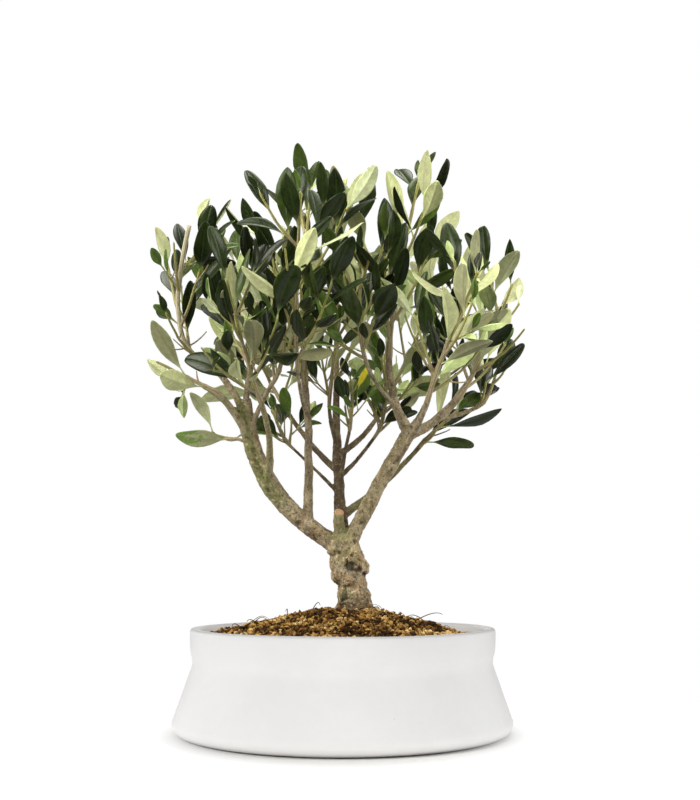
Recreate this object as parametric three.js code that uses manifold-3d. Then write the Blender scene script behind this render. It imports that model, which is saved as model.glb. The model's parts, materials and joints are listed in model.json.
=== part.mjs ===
// Olive bonsai in a flared white pot, in millimetres, +Z up.
// The origin is the middle of the pot's flat underside. +X is the viewer's right and -Y faces the viewer.
import * as THREE from "three";
import { mergeVertices } from "three/addons/utils/BufferGeometryUtils.js";
import Module from "manifold-3d";

const wasm = await Module();
wasm.setup();

// Driving dimensions

const POT = {
  height: 72, // underside to rim
  footRadius: 111, // flat underside
  footLift: 0.6, // rise of the round between underside and skirt
  skirtRadius: 120, // widest point, just above the underside
  skirtHeight: 8.5,
  creaseRadius: 105.6, // soft crease under the collar
  creaseHeight: 49,
  creaseDepth: 2,
  creaseHalf: 5, // from the crease's middle to its upper and lower edge
  rimRadius: 108.8,
  rimRound: 2.6,
  wall: 7.5,
  floor: 10,
  sides: 28,
  curveSteps: 2, // straight pieces to each round of the outline
};

const SOIL = {
  edgeHeight: 64.1, // where the mound meets the pot wall
  topHeight: 86.5, // flat top that the trunk stands on
  topRadius: 27,
  fullness: 1, // how domed the slope is; below 1 it is hollow
  rings: 4,
  lump: 1.6, // how far the slope swells and sinks
  lumpPitch: 26, // from a swelling to the next hollow
  lean: 2.1, // how far the edge sinks on the right and rises on the left
};

const CLEARANCE = 0.3; // gap kept between neighbouring solids

const TRUNK = {
  foot: [9.6, 0],
  buried: 6, // drawn this far into the soil, then cut off flat
  belly: [5.2, -1, 111],
  fork: [-1.6, 1.5, 140],
  girth: [13.6, 12.1, 11.3, 10.2, 12.4, 12.6, 11.1, 11.4, 8.6], // radii at even steps from foot to fork
  rootFlare: 3.4, // how far the roots swell the foot
  rootReach: 0.16, // share of the trunk that the flare climbs
  rootLobe: 0.4, // share of the flare that swells and sinks between one root and the next
  roots: 5,
  burr: 0.07, // share by which the old wood swells and sinks
  burrsRound: 3,
  burrTwist: 9, // radians that the swellings turn from foot to fork
  burrWaves: 14,
  sides: 10,
  steps: 12,
};

const BOUGH = {
  taper: 0.8, // below 1, a bough thins sooner near its foot
  stoutFrom: 3.6, // foot radius of the boughs that get more sides
  stoutSides: 6,
  slimSides: 5,
  steps: 4, // straight pieces along a bough
};

// Each bough leaves its parent at a share of the parent's length, bows through via and ends at tip.
const BOUGHS = {
  left: { parent: "trunk", at: 0.78, via: [-51, -9, 172], tip: [-72, -14, 236], radii: [8, 5.2] },
  right: { parent: "trunk", at: 0.78, via: [24, -4, 169], tip: [51, -6, 217], radii: [7, 6.2] },
  centre: { parent: "trunk", at: 0.86, via: [-4, 19, 192], tip: [-5, 28, 250], radii: [6.2, 2.8] },
  cut_stub: { parent: "trunk", at: 0.84, via: [-2.6, -5, 143], tip: [-2.6, -6.5, 154], radii: [5.2, 4.3] },
  centre_left: { parent: "left", at: 0.22, via: [-25, -7, 200], tip: [-28, -9, 250], radii: [4.4, 2.9] },
  left_low: { parent: "left", at: 0.74, via: [-79, -19, 226], tip: [-93, -23, 240], radii: [3.7, 2.9] },
  left_outer: { parent: "left", at: 0.93, via: [-88, -13, 252], tip: [-102, -16, 264], radii: [3.4, 2.4] },
  left_inner: { parent: "left", at: 0.9, via: [-71, 2, 248], tip: [-69, 16, 266], radii: [3.2, 2.2] },
  left_front: { parent: "left", at: 0.55, via: [-52, -28, 205], tip: [-58, -48, 232], radii: [3.5, 2.3] },
  left_spur: { parent: "left", at: 0.82, via: [-58, -16, 234], tip: [-51, -20, 246], radii: [2.4, 1.8] },
  left_twig: { parent: "left", at: 0.62, via: [-69, -4, 203], tip: [-80, 0, 208], radii: [2.2, 1.6] },
  side_front: { parent: "centre_left", at: 0.72, via: [-30, -24, 240], tip: [-32, -40, 256], radii: [2, 1.6] },
  back_left: { parent: "centre", at: 0.45, via: [-24, 44, 208], tip: [-44, 64, 236], radii: [3.1, 2.2] },
  back_right: { parent: "centre", at: 0.55, via: [16, 47, 217], tip: [32, 70, 242], radii: [3, 2.1] },
  centre_right: { parent: "centre", at: 0.4, via: [12, 26, 197], tip: [25, 27, 214], radii: [2.2, 1.5] },
  centre_spur: { parent: "centre", at: 0.62, via: [-9, 9, 223], tip: [-10, 0, 236], radii: [2.2, 1.6] },
  low_right: { parent: "centre", at: 0.16, via: [32, 15, 178], tip: [58, 10, 204.5], radii: [3.6, 2] },
  low_left: { parent: "centre", at: 0.3, via: [-21, 15, 187], tip: [-39, 13, 204], radii: [1.8, 1.3] },
  right_arm: { parent: "right", at: 0.94, via: [68, -7, 221], tip: [86, -11, 240], radii: [4.8, 3.2] },
  right_inner: { parent: "right", at: 0.95, via: [37, -11, 240], tip: [34, -14, 270], radii: [4.8, 2.8] },
  right_up: { parent: "right", at: 0.97, via: [60, 5, 230], tip: [66, 15, 248], radii: [3.5, 2.5] },
  right_front: { parent: "right", at: 0.72, via: [50, -30, 208], tip: [60, -48, 232], radii: [3.2, 2.2] },
  right_low: { parent: "right_arm", at: 0.55, via: [88, 0, 227], tip: [101, 2, 233], radii: [2.4, 1.7] },
  inner_front: { parent: "right_inner", at: 0.3, via: [25, -21, 246], tip: [17, -28, 260], radii: [2, 1.6] },
  low_centre: { parent: "centre", at: 0.34, via: [3, 8, 205], tip: [5, 2, 215], radii: [1.9, 1.5] },
};

// Each mass of foliage grows from the tip of one bough: its leading shoot heads along aim for reach,
// and side shoots stand off it.
const MASSES = {
  left_low: { bough: "left_low", aim: [-1, -0.1, 0.5], reach: 45, shoots: 1, seed: 63 },
  left_outer: { bough: "left_outer", aim: [0.05, -0.1, 1], reach: 108, shoots: 7, seed: 74 },
  left_inner: { bough: "left_inner", aim: [-0.25, 0.35, 1.05], reach: 98, shoots: 5, seed: 55 },
  left_front: { bough: "left_front", aim: [-0.25, -0.5, 1], reach: 85, shoots: 5, seed: 24 },
  left_spur: { bough: "left_spur", aim: [0, -0.2, 1], reach: 81, shoots: 4, seed: 28 },
  left_twig: { bough: "left_twig", aim: [-0.85, 0.1, 0.3], reach: 21, shoots: 1, seed: 38 },
  side_front: { bough: "side_front", aim: [0.05, -0.4, 1], reach: 121, shoots: 5, seed: 2 },
  centre_front: { bough: "centre_left", aim: [0.05, -0.1, 1], reach: 141, shoots: 5, seed: 83 },
  centre_top: { bough: "centre", aim: [0, 0.12, 1.15], reach: 156, shoots: 6, seed: 42 },
  centre_spur: { bough: "centre_spur", aim: [0.15, -0.3, 1], reach: 58, shoots: 2, seed: 31 },
  back_left: { bough: "back_left", aim: [-0.5, 0.45, 1], reach: 89, shoots: 6, seed: 35 },
  back_right: { bough: "back_right", aim: [0.5, 0.45, 1.1], reach: 93, shoots: 6, seed: 12 },
  inner_right: { bough: "centre_right", aim: [0.05, 0.1, 1.05], reach: 57, shoots: 5, seed: 20 },
  low_right: { bough: "low_right", aim: [0.9, -0.1, 0.8], reach: 36, shoots: 2, seed: 51 },
  low_left: { bough: "low_left", aim: [-0.3, 0.1, 0.7], reach: 30, shoots: 3, seed: 82 },
  right_outer: { bough: "right_arm", aim: [0.4, -0.05, 0.9], reach: 89, shoots: 7, seed: 68 },
  right_low: { bough: "right_low", aim: [0.4, 0.1, 0.95], reach: 29, shoots: 2, seed: 49 },
  right_centre: { bough: "right_inner", aim: [0.2, 0, 1], reach: 130, shoots: 5, seed: 18 },
  right_back: { bough: "right_up", aim: [0.3, 0.35, 1], reach: 107, shoots: 7, seed: 75 },
  right_front: { bough: "right_front", aim: [0.5, -0.5, 1.2], reach: 92, shoots: 5, seed: 11 },
  low_centre: { bough: "low_centre", aim: [0.1, -0.2, 1], reach: 34, shoots: 3, seed: 7 },
  inner_front: { bough: "inner_front", aim: [0, -0.25, 0.95], reach: 76, shoots: 7, seed: 27 },
};

// The crown as a whole: an egg that no leaf leaves.
const CROWN = { centre: [-4, 0, 300], halfSizes: [144, 122, 138], fullness: 2.3 };

const SHOOT = {
  radius: 1.8, // circumscribed radius of a leading shoot at its foot
  tipShare: 0.6, // tip radius beside foot radius
  sideGirth: 0.6,
  sideShare: 0.62, // length of the lowest side shoot beside its leader
  topShare: 0.5, // length of a side shoot at the leader's tip beside one at its foot
  lengths: [0.8, 1.15], // shortest and longest of like side shoots
  follow: 0.15, // share of its reach that a leader runs on along its bough
  lift: 0.8, // how far a side shoot turns up towards the light
  standOff: [28, 54], // degrees between a side shoot and its leader
  from: 0.06, // share of the leader below which it stands bare of side shoots
  to: 0.78,
  bare: 0.2, // share of any shoot below its first leaves
  lastLeaves: 0.985, // share of a shoot where its last pair stands
  nodeSpacing: 15, // between one pair of leaves and the next
  roomShare: 0.66, // radius of a mass's own space beside its reach
  roomExtra: 30,
  sides: 3,
  steps: 2,
  leaderSteps: 4,
};

const LEAF = {
  length: 43,
  widthShare: 0.36,
  thickness: 0.9,
  rootAt: 0.35, // how far from its twig's middle a leaf starts, deep inside the wood
  spread: [18, 50], // degrees from the twig, at its tip and at its foot
  toLight: 0.3, // how far a leaf turns its face up
  aside: 0.5, // radians by which leaves of a pair stray round their twig
  astray: 22, // degrees by which leaves stray from the spread
  twist: 0.9, // radians by which leaves turn about their own length
  lengths: [0.78, 1.18], // shortest and longest beside length
  youngest: 0.84, // length of the last pair on a shoot
  arches: [-0.06, 0.14], // how far tips bend back, beside the leaf's length
};

const COLOURS = {
  pot: { color: "#efedea", roughness: 0.45, metalness: 0 },
  soil: { color: "#6b4b25", roughness: 0.95, metalness: 0 },
  bark: { color: "#8d7c62", roughness: 0.9, metalness: 0 },
  leaves: { color: "#5d6b47", roughness: 0.5, metalness: 0 },
};

const RANDOM = { factor: 1664525, step: 1013904223, range: 2 ** 32, warmUp: 4 };
const NEARLY_ALONG = 1e-6; // squared length below which a direction counts as lying along an axis
const SAME_CORNER = 1e-4; // corners nearer than this are one
const GOLDEN_ANGLE = Math.PI * (3 - Math.sqrt(5));
const UP = new THREE.Vector3(0, 0, 1);
const ASKEW = new THREE.Vector3(0.3, 1, 0.2); // along no shoot

// Small tools

// Repeatable random numbers from 0 to 1.
function seeded(seed) {
  let state = seed >>> 0;
  const next = () => {
    state = (Math.imul(state, RANDOM.factor) + RANDOM.step) >>> 0;
    return state / RANDOM.range;
  };
  for (let i = 0; i < RANDOM.warmUp; i++) next();
  return next;
}

const vector = (xyz) => new THREE.Vector3(...xyz);
const mix = (a, b, share) => a + (b - a) * share;

// A unit vector square to an axis, as near as can be to a wished-for one.
function squareTo(axis, wish) {
  const found = wish.clone().addScaledVector(axis, -wish.dot(axis));
  if (found.lengthSq() < NEARLY_ALONG) {
    found.set(1, 0, 0).addScaledVector(axis, -axis.x);
  }
  return found.normalize();
}

// A bow that starts at a, passes through b half-way and ends at c.
function bow(a, b, c) {
  const control = b.clone().multiplyScalar(2).addScaledVector(a, -0.5).addScaledVector(c, -0.5);
  return new THREE.QuadraticBezierCurve3(a, control, c);
}

function solid(geometry) {
  const bare = geometry.clone();
  bare.deleteAttribute("normal");
  bare.deleteAttribute("uv");
  const merged = mergeVertices(bare, SAME_CORNER);
  return new wasm.Manifold(
    new wasm.Mesh({
      numProp: 3,
      vertProperties: merged.attributes.position.array,
      triVerts: new Uint32Array(merged.index.array),
    }),
  );
}

function geometryOf(made) {
  const mesh = made.getMesh();
  const geometry = new THREE.BufferGeometry();
  geometry.setAttribute("position", new THREE.BufferAttribute(mesh.vertProperties, 3));
  geometry.setIndex(new THREE.BufferAttribute(mesh.triVerts, 1));
  geometry.computeVertexNormals();
  return geometry;
}

function largest(made) {
  return made.decompose().reduce((a, b) => (a.volume() > b.volume() ? a : b));
}

function boxesMeet(a, b) {
  return [0, 1, 2].every((k) => a.min[k] <= b.max[k] && b.min[k] <= a.max[k]);
}

// A closed cylinder laid along a curve, with radiusAt(share along, angle round) at each of its corners.
function limb(curve, radiusAt, sides, steps) {
  const geometry = new THREE.CylinderGeometry(1, 1, 1, sides, steps);
  const stations = [];
  let across = new THREE.Vector3(1, 0, 0);
  for (let i = 0; i <= steps; i++) {
    const along = curve.getTangent(i / steps);
    across = squareTo(along, across);
    stations.push({ at: curve.getPoint(i / steps), across, aside: across.clone().cross(along) });
  }
  const corners = geometry.attributes.position;
  for (let i = 0; i < corners.count; i++) {
    const share = corners.getY(i) + 0.5;
    const x = corners.getX(i);
    const z = corners.getZ(i);
    const station = stations[Math.round(share * steps)];
    const angle = Math.atan2(z, x);
    const radius = Math.hypot(x, z) * radiusAt(share, angle);
    const corner = station.at
      .clone()
      .addScaledVector(station.across, Math.cos(angle) * radius)
      .addScaledVector(station.aside, Math.sin(angle) * radius);
    corners.setXYZ(i, corner.x, corner.y, corner.z);
  }
  return geometry;
}

// Pot and soil

function potGeometry() {
  const inner = POT.rimRadius - POT.wall;
  const shoulder = POT.creaseRadius + POT.creaseDepth;
  const collar = POT.creaseHeight + POT.creaseHalf;
  const outline = new THREE.Path();
  outline.moveTo(0, 0);
  outline.lineTo(POT.footRadius, 0);
  outline.quadraticCurveTo(POT.skirtRadius, POT.footLift, POT.skirtRadius, POT.skirtHeight);
  outline.lineTo(shoulder, POT.creaseHeight - POT.creaseHalf);
  outline.quadraticCurveTo(POT.creaseRadius, POT.creaseHeight, shoulder, collar);
  outline.quadraticCurveTo(POT.rimRadius, collar + POT.creaseHalf, POT.rimRadius, POT.height - POT.rimRound);
  outline.quadraticCurveTo(POT.rimRadius, POT.height, POT.rimRadius - POT.rimRound, POT.height);
  outline.lineTo(inner + POT.rimRound, POT.height);
  outline.quadraticCurveTo(inner, POT.height, inner, POT.height - POT.rimRound);
  outline.lineTo(inner, POT.floor);
  outline.lineTo(0, POT.floor);
  const profile = outline.getPoints(POT.curveSteps);
  return new THREE.LatheGeometry(profile, POT.sides).rotateX(Math.PI / 2);
}

// How far the mound stands off its even slope: waves half way up it, and a lean that fades towards its flat top.
function soilLump(x, y, edge) {
  const share = Math.min((edge - Math.hypot(x, y)) / (edge - SOIL.topRadius), 1);
  const waves = Math.sin((Math.PI * x) / SOIL.lumpPitch) * Math.cos((Math.PI * y) / SOIL.lumpPitch);
  const lean = (SOIL.lean * (1 - share) * x) / edge;
  return SOIL.lump * Math.sin(Math.PI * share) * waves - lean;
}

function soilGeometry() {
  const edge = POT.rimRadius - POT.wall - CLEARANCE;
  const foot = POT.floor + CLEARANCE;
  const profile = [new THREE.Vector2(0, foot), new THREE.Vector2(edge, foot)];
  for (let i = 0; i <= SOIL.rings; i++) {
    const share = i / SOIL.rings;
    const radius = mix(edge, SOIL.topRadius, share);
    const climb = 1 - (1 - share) ** SOIL.fullness;
    profile.push(new THREE.Vector2(radius, mix(SOIL.edgeHeight, SOIL.topHeight, climb)));
  }
  profile.push(new THREE.Vector2(0, SOIL.topHeight));
  const geometry = new THREE.LatheGeometry(profile, POT.sides).rotateX(Math.PI / 2);
  const corners = geometry.attributes.position;
  for (let i = 0; i < corners.count; i++) {
    const isTop = corners.getZ(i) > foot + CLEARANCE;
    if (isTop) corners.setZ(i, corners.getZ(i) + soilLump(corners.getX(i), corners.getY(i), edge));
  }
  return geometry;
}

// Trunk and boughs

const trunkCurve = bow(
  new THREE.Vector3(...TRUNK.foot, SOIL.topHeight - TRUNK.buried),
  vector(TRUNK.belly),
  vector(TRUNK.fork),
);

function trunkRadius(share, angle) {
  const place = share * (TRUNK.girth.length - 1);
  const step = Math.min(Math.floor(place), TRUNK.girth.length - 2);
  const girth = mix(TRUNK.girth[step], TRUNK.girth[step + 1], place - step);
  const flare = TRUNK.rootFlare * Math.max(0, 1 - share / TRUNK.rootReach) ** 2;
  const lobes = 1 - TRUNK.rootLobe + TRUNK.rootLobe * Math.cos(TRUNK.roots * angle);
  const swelling = Math.sin(TRUNK.burrsRound * angle + TRUNK.burrTwist * share);
  const burrs = swelling * Math.sin(TRUNK.burrWaves * share);
  return girth * (1 + TRUNK.burr * burrs) + flare * lobes;
}

function boughRadius(bough) {
  return (share) => mix(bough.radii[0], bough.radii[1], share ** BOUGH.taper);
}

const limbs = new Map(); // name to curve, solid, and the fatter solid that cuts its neighbours clear

function addTrunk() {
  const made = (grow) =>
    solid(limb(trunkCurve, (share, angle) => trunkRadius(share, angle) + grow, TRUNK.sides, TRUNK.steps));
  const depth = 4 * TRUNK.buried;
  const ground = new THREE.BoxGeometry(POT.rimRadius, POT.rimRadius, depth);
  ground.translate(...TRUNK.foot, SOIL.topHeight + CLEARANCE - depth / 2);
  limbs.set("trunk", { curve: trunkCurve, solid: made(0).subtract(solid(ground)), cutter: made(CLEARANCE) });
}

function addBough([name, bough]) {
  const start = limbs.get(bough.parent).curve.getPoint(bough.at);
  const curve = bow(start, vector(bough.via), vector(bough.tip));
  const radius = boughRadius(bough);
  const sides = bough.radii[0] > BOUGH.stoutFrom ? BOUGH.stoutSides : BOUGH.slimSides;
  const made = (grow) => solid(limb(curve, (share) => radius(share) + grow, sides, BOUGH.steps));
  let body = made(0);
  const box = body.boundingBox();
  for (const other of limbs.values()) {
    if (boxesMeet(box, other.cutter.boundingBox())) {
      body = body.subtract(other.cutter);
    }
  }
  limbs.set(name, { curve, solid: largest(body), cutter: made(CLEARANCE) });
}

// Foliage

// Corners of a leaf: share of its length, share of its half width, and level between under and upper face.
const LEAF_CORNERS = [
  { along: 0, across: 0, level: 0 }, // root
  { along: 0.34, across: -0.88, level: 0 },
  { along: 0.72, across: -0.9, level: 0 },
  { along: 1, across: 0, level: 0 }, // tip
  { along: 0.72, across: 0.9, level: 0 },
  { along: 0.34, across: 0.88, level: 0 },
  { along: 0.16, across: 0, level: 0.5 }, // ridge of the upper face
  { along: 0.16, across: 0, level: -0.5 }, // keel of the under face
];
const [RIDGE, KEEL, RING] = [6, 7, 6];
const LEAF_FACES = Array.from({ length: RING }, (_, i) => [
  [RIDGE, i, (i + 1) % RING],
  [KEEL, (i + 1) % RING, i],
]).flat();

// One leaf as a thin closed blade. With grow, it is fatter all round by that much.
function leafGeometry(leaf, grow) {
  const across = leaf.face.clone().cross(leaf.along);
  const halfWidth = (leaf.length * LEAF.widthShare) / 2 + grow;
  const corners = LEAF_CORNERS.flatMap((corner) =>
    leaf.root
      .clone()
      .addScaledVector(leaf.along, mix(LEAF.rootAt, leaf.length + grow, corner.along))
      .addScaledVector(across, halfWidth * corner.across)
      .addScaledVector(leaf.face, corner.level * (LEAF.thickness + 2 * grow))
      .addScaledVector(leaf.face, -leaf.arch * leaf.length * corner.along ** 2)
      .toArray(),
  );
  const geometry = new THREE.BufferGeometry();
  geometry.setAttribute("position", new THREE.Float32BufferAttribute(corners, 3));
  geometry.setIndex(LEAF_FACES.flat());
  return geometry;
}

// The opposite pairs of leaves along a shoot from its tip down, each pair a quarter turn on from the last.
function leavesAlong(shoot, random) {
  const leaves = [];
  const pairs = Math.max(2, Math.round((shoot.length * (1 - SHOOT.bare)) / SHOOT.nodeSpacing) + 1);
  const turn = random() * Math.PI;
  for (let pair = pairs - 1; pair >= 0; pair--) {
    const share = mix(SHOOT.bare, SHOOT.lastLeaves, pair / (pairs - 1));
    const tangent = shoot.curve.getTangent(share);
    const side = squareTo(tangent, shoot.across).applyAxisAngle(tangent, turn + (pair * Math.PI) / 2);
    for (const sign of [1, -1]) {
      const out = side.clone().multiplyScalar(sign).applyAxisAngle(tangent, LEAF.aside * (random() - 0.5));
      const open = mix(LEAF.spread[1], LEAF.spread[0], share) + LEAF.astray * (random() - 0.5);
      const angle = THREE.MathUtils.degToRad(open);
      const along = tangent.clone().multiplyScalar(Math.cos(angle)).addScaledVector(out, Math.sin(angle));
      const face = tangent.clone().multiplyScalar(Math.sin(angle)).addScaledVector(out, -Math.cos(angle));
      face.lerp(squareTo(along, UP), LEAF.toLight).applyAxisAngle(along, LEAF.twist * (random() - 0.5));
      const age = pair === pairs - 1 ? LEAF.youngest : 1;
      leaves.push({
        root: shoot.curve.getPoint(share),
        along,
        face: squareTo(along, face),
        length: LEAF.length * age * mix(...LEAF.lengths, random()),
        arch: mix(...LEAF.arches, random()),
      });
    }
  }
  return leaves;
}

function shootFrom(start, heading, length, radius, lift) {
  const end = heading.clone().addScaledVector(UP, lift).normalize();
  const middle = start.clone().addScaledVector(heading, length / 2);
  const tip = middle.clone().addScaledVector(end, length / 2);
  const curve = new THREE.QuadraticBezierCurve3(start, middle, tip);
  const across = squareTo(heading, ASKEW);
  const radiusAt = (share) => radius * mix(1, SHOOT.tipShare, share);
  return { curve, length, radius, across, geometry: limb(curve, radiusAt, SHOOT.sides, SHOOT.steps) };
}

// The leading shoot of a mass, then its side shoots by the golden angle, longest at the foot.
function shootsOf(mass, random) {
  const bough = limbs.get(mass.bough);
  const heading = bough.curve.getTangent(1);
  const aim = vector(mass.aim).normalize();
  const start = bough.curve.getPoint(1).addScaledVector(heading, CLEARANCE);
  const onward = mass.reach * SHOOT.follow;
  const middle = start.clone().addScaledVector(heading, 2 * onward);
  const tip = start.clone().addScaledVector(heading, onward).addScaledVector(aim, mass.reach - onward);
  const curve = new THREE.QuadraticBezierCurve3(start, middle, tip);
  const radiusAt = (share) => SHOOT.radius * mix(1, SHOOT.tipShare, share);
  const leader = { curve, length: mass.reach, radius: SHOOT.radius, across: squareTo(heading, UP) };
  leader.geometry = limb(curve, radiusAt, SHOOT.sides, SHOOT.leaderSteps);
  const shoots = [leader];
  const turn = random() * 2 * Math.PI;
  for (let i = 0; i < mass.shoots; i++) {
    const share = mix(SHOOT.from, SHOOT.to, mass.shoots > 1 ? i / (mass.shoots - 1) : 0.5);
    const tangent = curve.getTangent(share);
    const out = squareTo(tangent, leader.across).applyAxisAngle(tangent, turn + i * GOLDEN_ANGLE);
    const angle = THREE.MathUtils.degToRad(mix(...SHOOT.standOff, random()));
    const way = tangent.clone().multiplyScalar(Math.cos(angle)).addScaledVector(out, Math.sin(angle));
    const usual = mass.reach * SHOOT.sideShare * mix(1, SHOOT.topShare, share);
    const length = usual * mix(...SHOOT.lengths, random());
    shoots.push(shootFrom(curve.getPoint(share), way, length, SHOOT.radius * SHOOT.sideGirth, SHOOT.lift));
  }
  return shoots;
}

// Keeps what has been placed, and says whether a new piece would touch any of it.
const placed = [];
function touches(piece, ownPieces) {
  const box = piece.boundingBox();
  return placed.some(
    (other) =>
      !ownPieces.includes(other.solid) &&
      boxesMeet(box, other.box) &&
      piece.intersect(other.solid).volume() > 0,
  );
}
function place(piece) {
  placed.push({ solid: piece, box: piece.boundingBox() });
}

function roomOf(mass) {
  const foot = limbs.get(mass.bough).curve.getPoint(1);
  const centre = foot.addScaledVector(vector(mass.aim).normalize(), mass.reach / 2);
  return new THREE.Sphere(centre, mass.reach * SHOOT.roomShare + SHOOT.roomExtra);
}

function inCrown(point) {
  const out = point.clone().sub(vector(CROWN.centre)).divide(vector(CROWN.halfSizes)).toArray();
  return out.reduce((sum, share) => sum + Math.abs(share) ** CROWN.fullness, 0) <= 1;
}

// Shoots of every mass come first, so that no leaf takes the place of a twig.
function twigsOf([name, mass]) {
  const random = seeded(mass.seed);
  const room = roomOf(mass);
  const ownBough = limbs.get(mass.bough).cutter;
  const grown = { name, room, twigs: [] };
  for (const shoot of shootsOf(mass, random)) {
    const piece = solid(shoot.geometry);
    const own = [ownBough, ...grown.twigs.map((twig) => twig.solid)];
    const leaves = leavesAlong(shoot, random);
    const tip = shoot.curve.getPoint(1);
    if (!room.containsPoint(tip) || !inCrown(tip) || touches(piece, own)) continue;
    grown.twigs.push({ solid: piece, leaves });
  }
  grown.twigs.forEach((twig) => place(twig.solid));
  return grown;
}

function leafMass(grown) {
  const stems = grown.twigs.map((twig) => twig.solid);
  const blades = [];
  for (const twig of grown.twigs) {
    for (const leaf of twig.leaves) {
      const tip = leaf.root.clone().addScaledVector(leaf.along, leaf.length);
      if (!grown.room.containsPoint(tip) || !inCrown(tip)) continue;
      const roomy = solid(leafGeometry(leaf, CLEARANCE));
      if (touches(roomy, [twig.solid])) continue;
      const blade = solid(leafGeometry(leaf, 0));
      place(blade);
      blades.push(blade);
    }
  }
  return largest(wasm.Manifold.union([...stems, ...blades]));
}

// Assembly

const bonsai = new THREE.Group();

function addPart(name, geometry, look) {
  const mesh = new THREE.Mesh(geometry, new THREE.MeshStandardMaterial(COLOURS[look]));
  mesh.name = name;
  bonsai.add(mesh);
}

addPart("pot", potGeometry(), "pot");
addPart("soil", soilGeometry(), "soil");

addTrunk();
Object.entries(BOUGHS).forEach(addBough);
for (const [name, made] of limbs) {
  addPart(name === "trunk" ? name : `bough_${name}`, geometryOf(made.solid), "bark");
  place(made.cutter);
}

for (const grown of Object.entries(MASSES).map(twigsOf)) {
  addPart(`leaves_${grown.name}`, geometryOf(leafMass(grown)), "leaves");
}

export default bonsai;
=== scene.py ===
# Olive bonsai in a flared white pot: its finished looks, in metres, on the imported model's own frame.
# The tree's growth is worked out in millimetres, by the rule that its solids follow.
import json
import math
from functools import cache
from typing import Callable, NamedTuple

import bpy
import numpy as np
from bpy.props import FloatProperty, FloatVectorProperty, IntProperty, PointerProperty
from mathutils import Matrix, Vector, noise
from mathutils.bvhtree import BVHTree
from mathutils.kdtree import KDTree

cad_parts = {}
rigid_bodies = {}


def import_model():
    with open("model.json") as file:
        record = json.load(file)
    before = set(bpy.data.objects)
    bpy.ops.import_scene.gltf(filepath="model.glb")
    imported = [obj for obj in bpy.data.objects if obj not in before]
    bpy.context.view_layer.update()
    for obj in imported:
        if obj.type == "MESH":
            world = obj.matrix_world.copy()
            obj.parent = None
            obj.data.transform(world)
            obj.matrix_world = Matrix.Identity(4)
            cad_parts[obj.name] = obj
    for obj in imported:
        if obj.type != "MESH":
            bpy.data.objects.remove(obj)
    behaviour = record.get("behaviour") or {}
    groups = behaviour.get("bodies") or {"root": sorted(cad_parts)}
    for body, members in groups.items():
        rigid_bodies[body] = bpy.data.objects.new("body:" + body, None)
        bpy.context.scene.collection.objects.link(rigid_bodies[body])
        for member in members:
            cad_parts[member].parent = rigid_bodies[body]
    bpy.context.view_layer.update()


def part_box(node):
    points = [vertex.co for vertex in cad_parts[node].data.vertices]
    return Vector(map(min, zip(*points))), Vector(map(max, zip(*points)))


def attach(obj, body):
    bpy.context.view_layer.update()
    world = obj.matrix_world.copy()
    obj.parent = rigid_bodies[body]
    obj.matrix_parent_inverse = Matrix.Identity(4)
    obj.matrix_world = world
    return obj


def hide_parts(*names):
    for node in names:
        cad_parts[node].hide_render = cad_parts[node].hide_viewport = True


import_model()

bl_info = {
    "name": "Olive Bonsai",
    "version": (1, 0, 0),
    "blender": (4, 5, 0),
    "location": "View3D > Sidebar > Bonsai",
    "description": "Olive bonsai in a flared white pot, with bark, twigs, leaves and loose soil",
    "category": "Add Mesh",
}

MM = 0.001
BODY = "root"
UP = Vector((0, 0, 1))
ASKEW = Vector((0.3, 1, 0.2))
FULL_TURN = 2 * math.pi
GOLDEN_ANGLE = math.pi * (3 - math.sqrt(5))
POT_LOW, POT_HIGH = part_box("pot")
SOIL_LOW, SOIL_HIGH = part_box("soil")
# Without a seed, the noise by which limbs and twigs stray would differ from run to run
NOISE_SEED = 7
noise.seed_set(NOISE_SEED)


# Growth rule, in millimetres, as the solids follow it


class Bough(NamedTuple):
    """A limb that leaves its parent at a share of its length, bows through via and ends at tip."""

    parent: str
    at: float
    via: tuple
    tip: tuple
    radii: tuple


class Mass(NamedTuple):
    """Foliage from the tip of its namesake bough, or of another; its leader heads along aim."""

    aim: tuple
    reach: float
    shoots: int
    seed: int
    bough: str = ""


CLEARANCE = 0.3
GROUND = 86.5
TRUNK_FOOT = (9.6, 0)
TRUNK_BURIED = 6
TRUNK_BELLY = (5.2, -1, 111)
TRUNK_FORK = (-1.6, 1.5, 140)
TRUNK_GIRTH = (13.6, 12.1, 11.3, 10.2, 12.4, 12.6, 11.1, 11.4, 8.6)
ROOT_FLARE = 3.4
ROOT_REACH = 0.16
ROOT_LOBE = 0.4
ROOTS = 5
BURR = 0.07
BURRS_ROUND = 3
BURR_TWIST = 9
BURR_WAVES = 14
TRUNK_SIDES = 10
TRUNK_STEPS = 12
BOUGH_TAPER = 0.8
STOUT_FROM = 3.6
STOUT_SIDES = 6
SLIM_SIDES = 5
BOUGH_STEPS = 4

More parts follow.
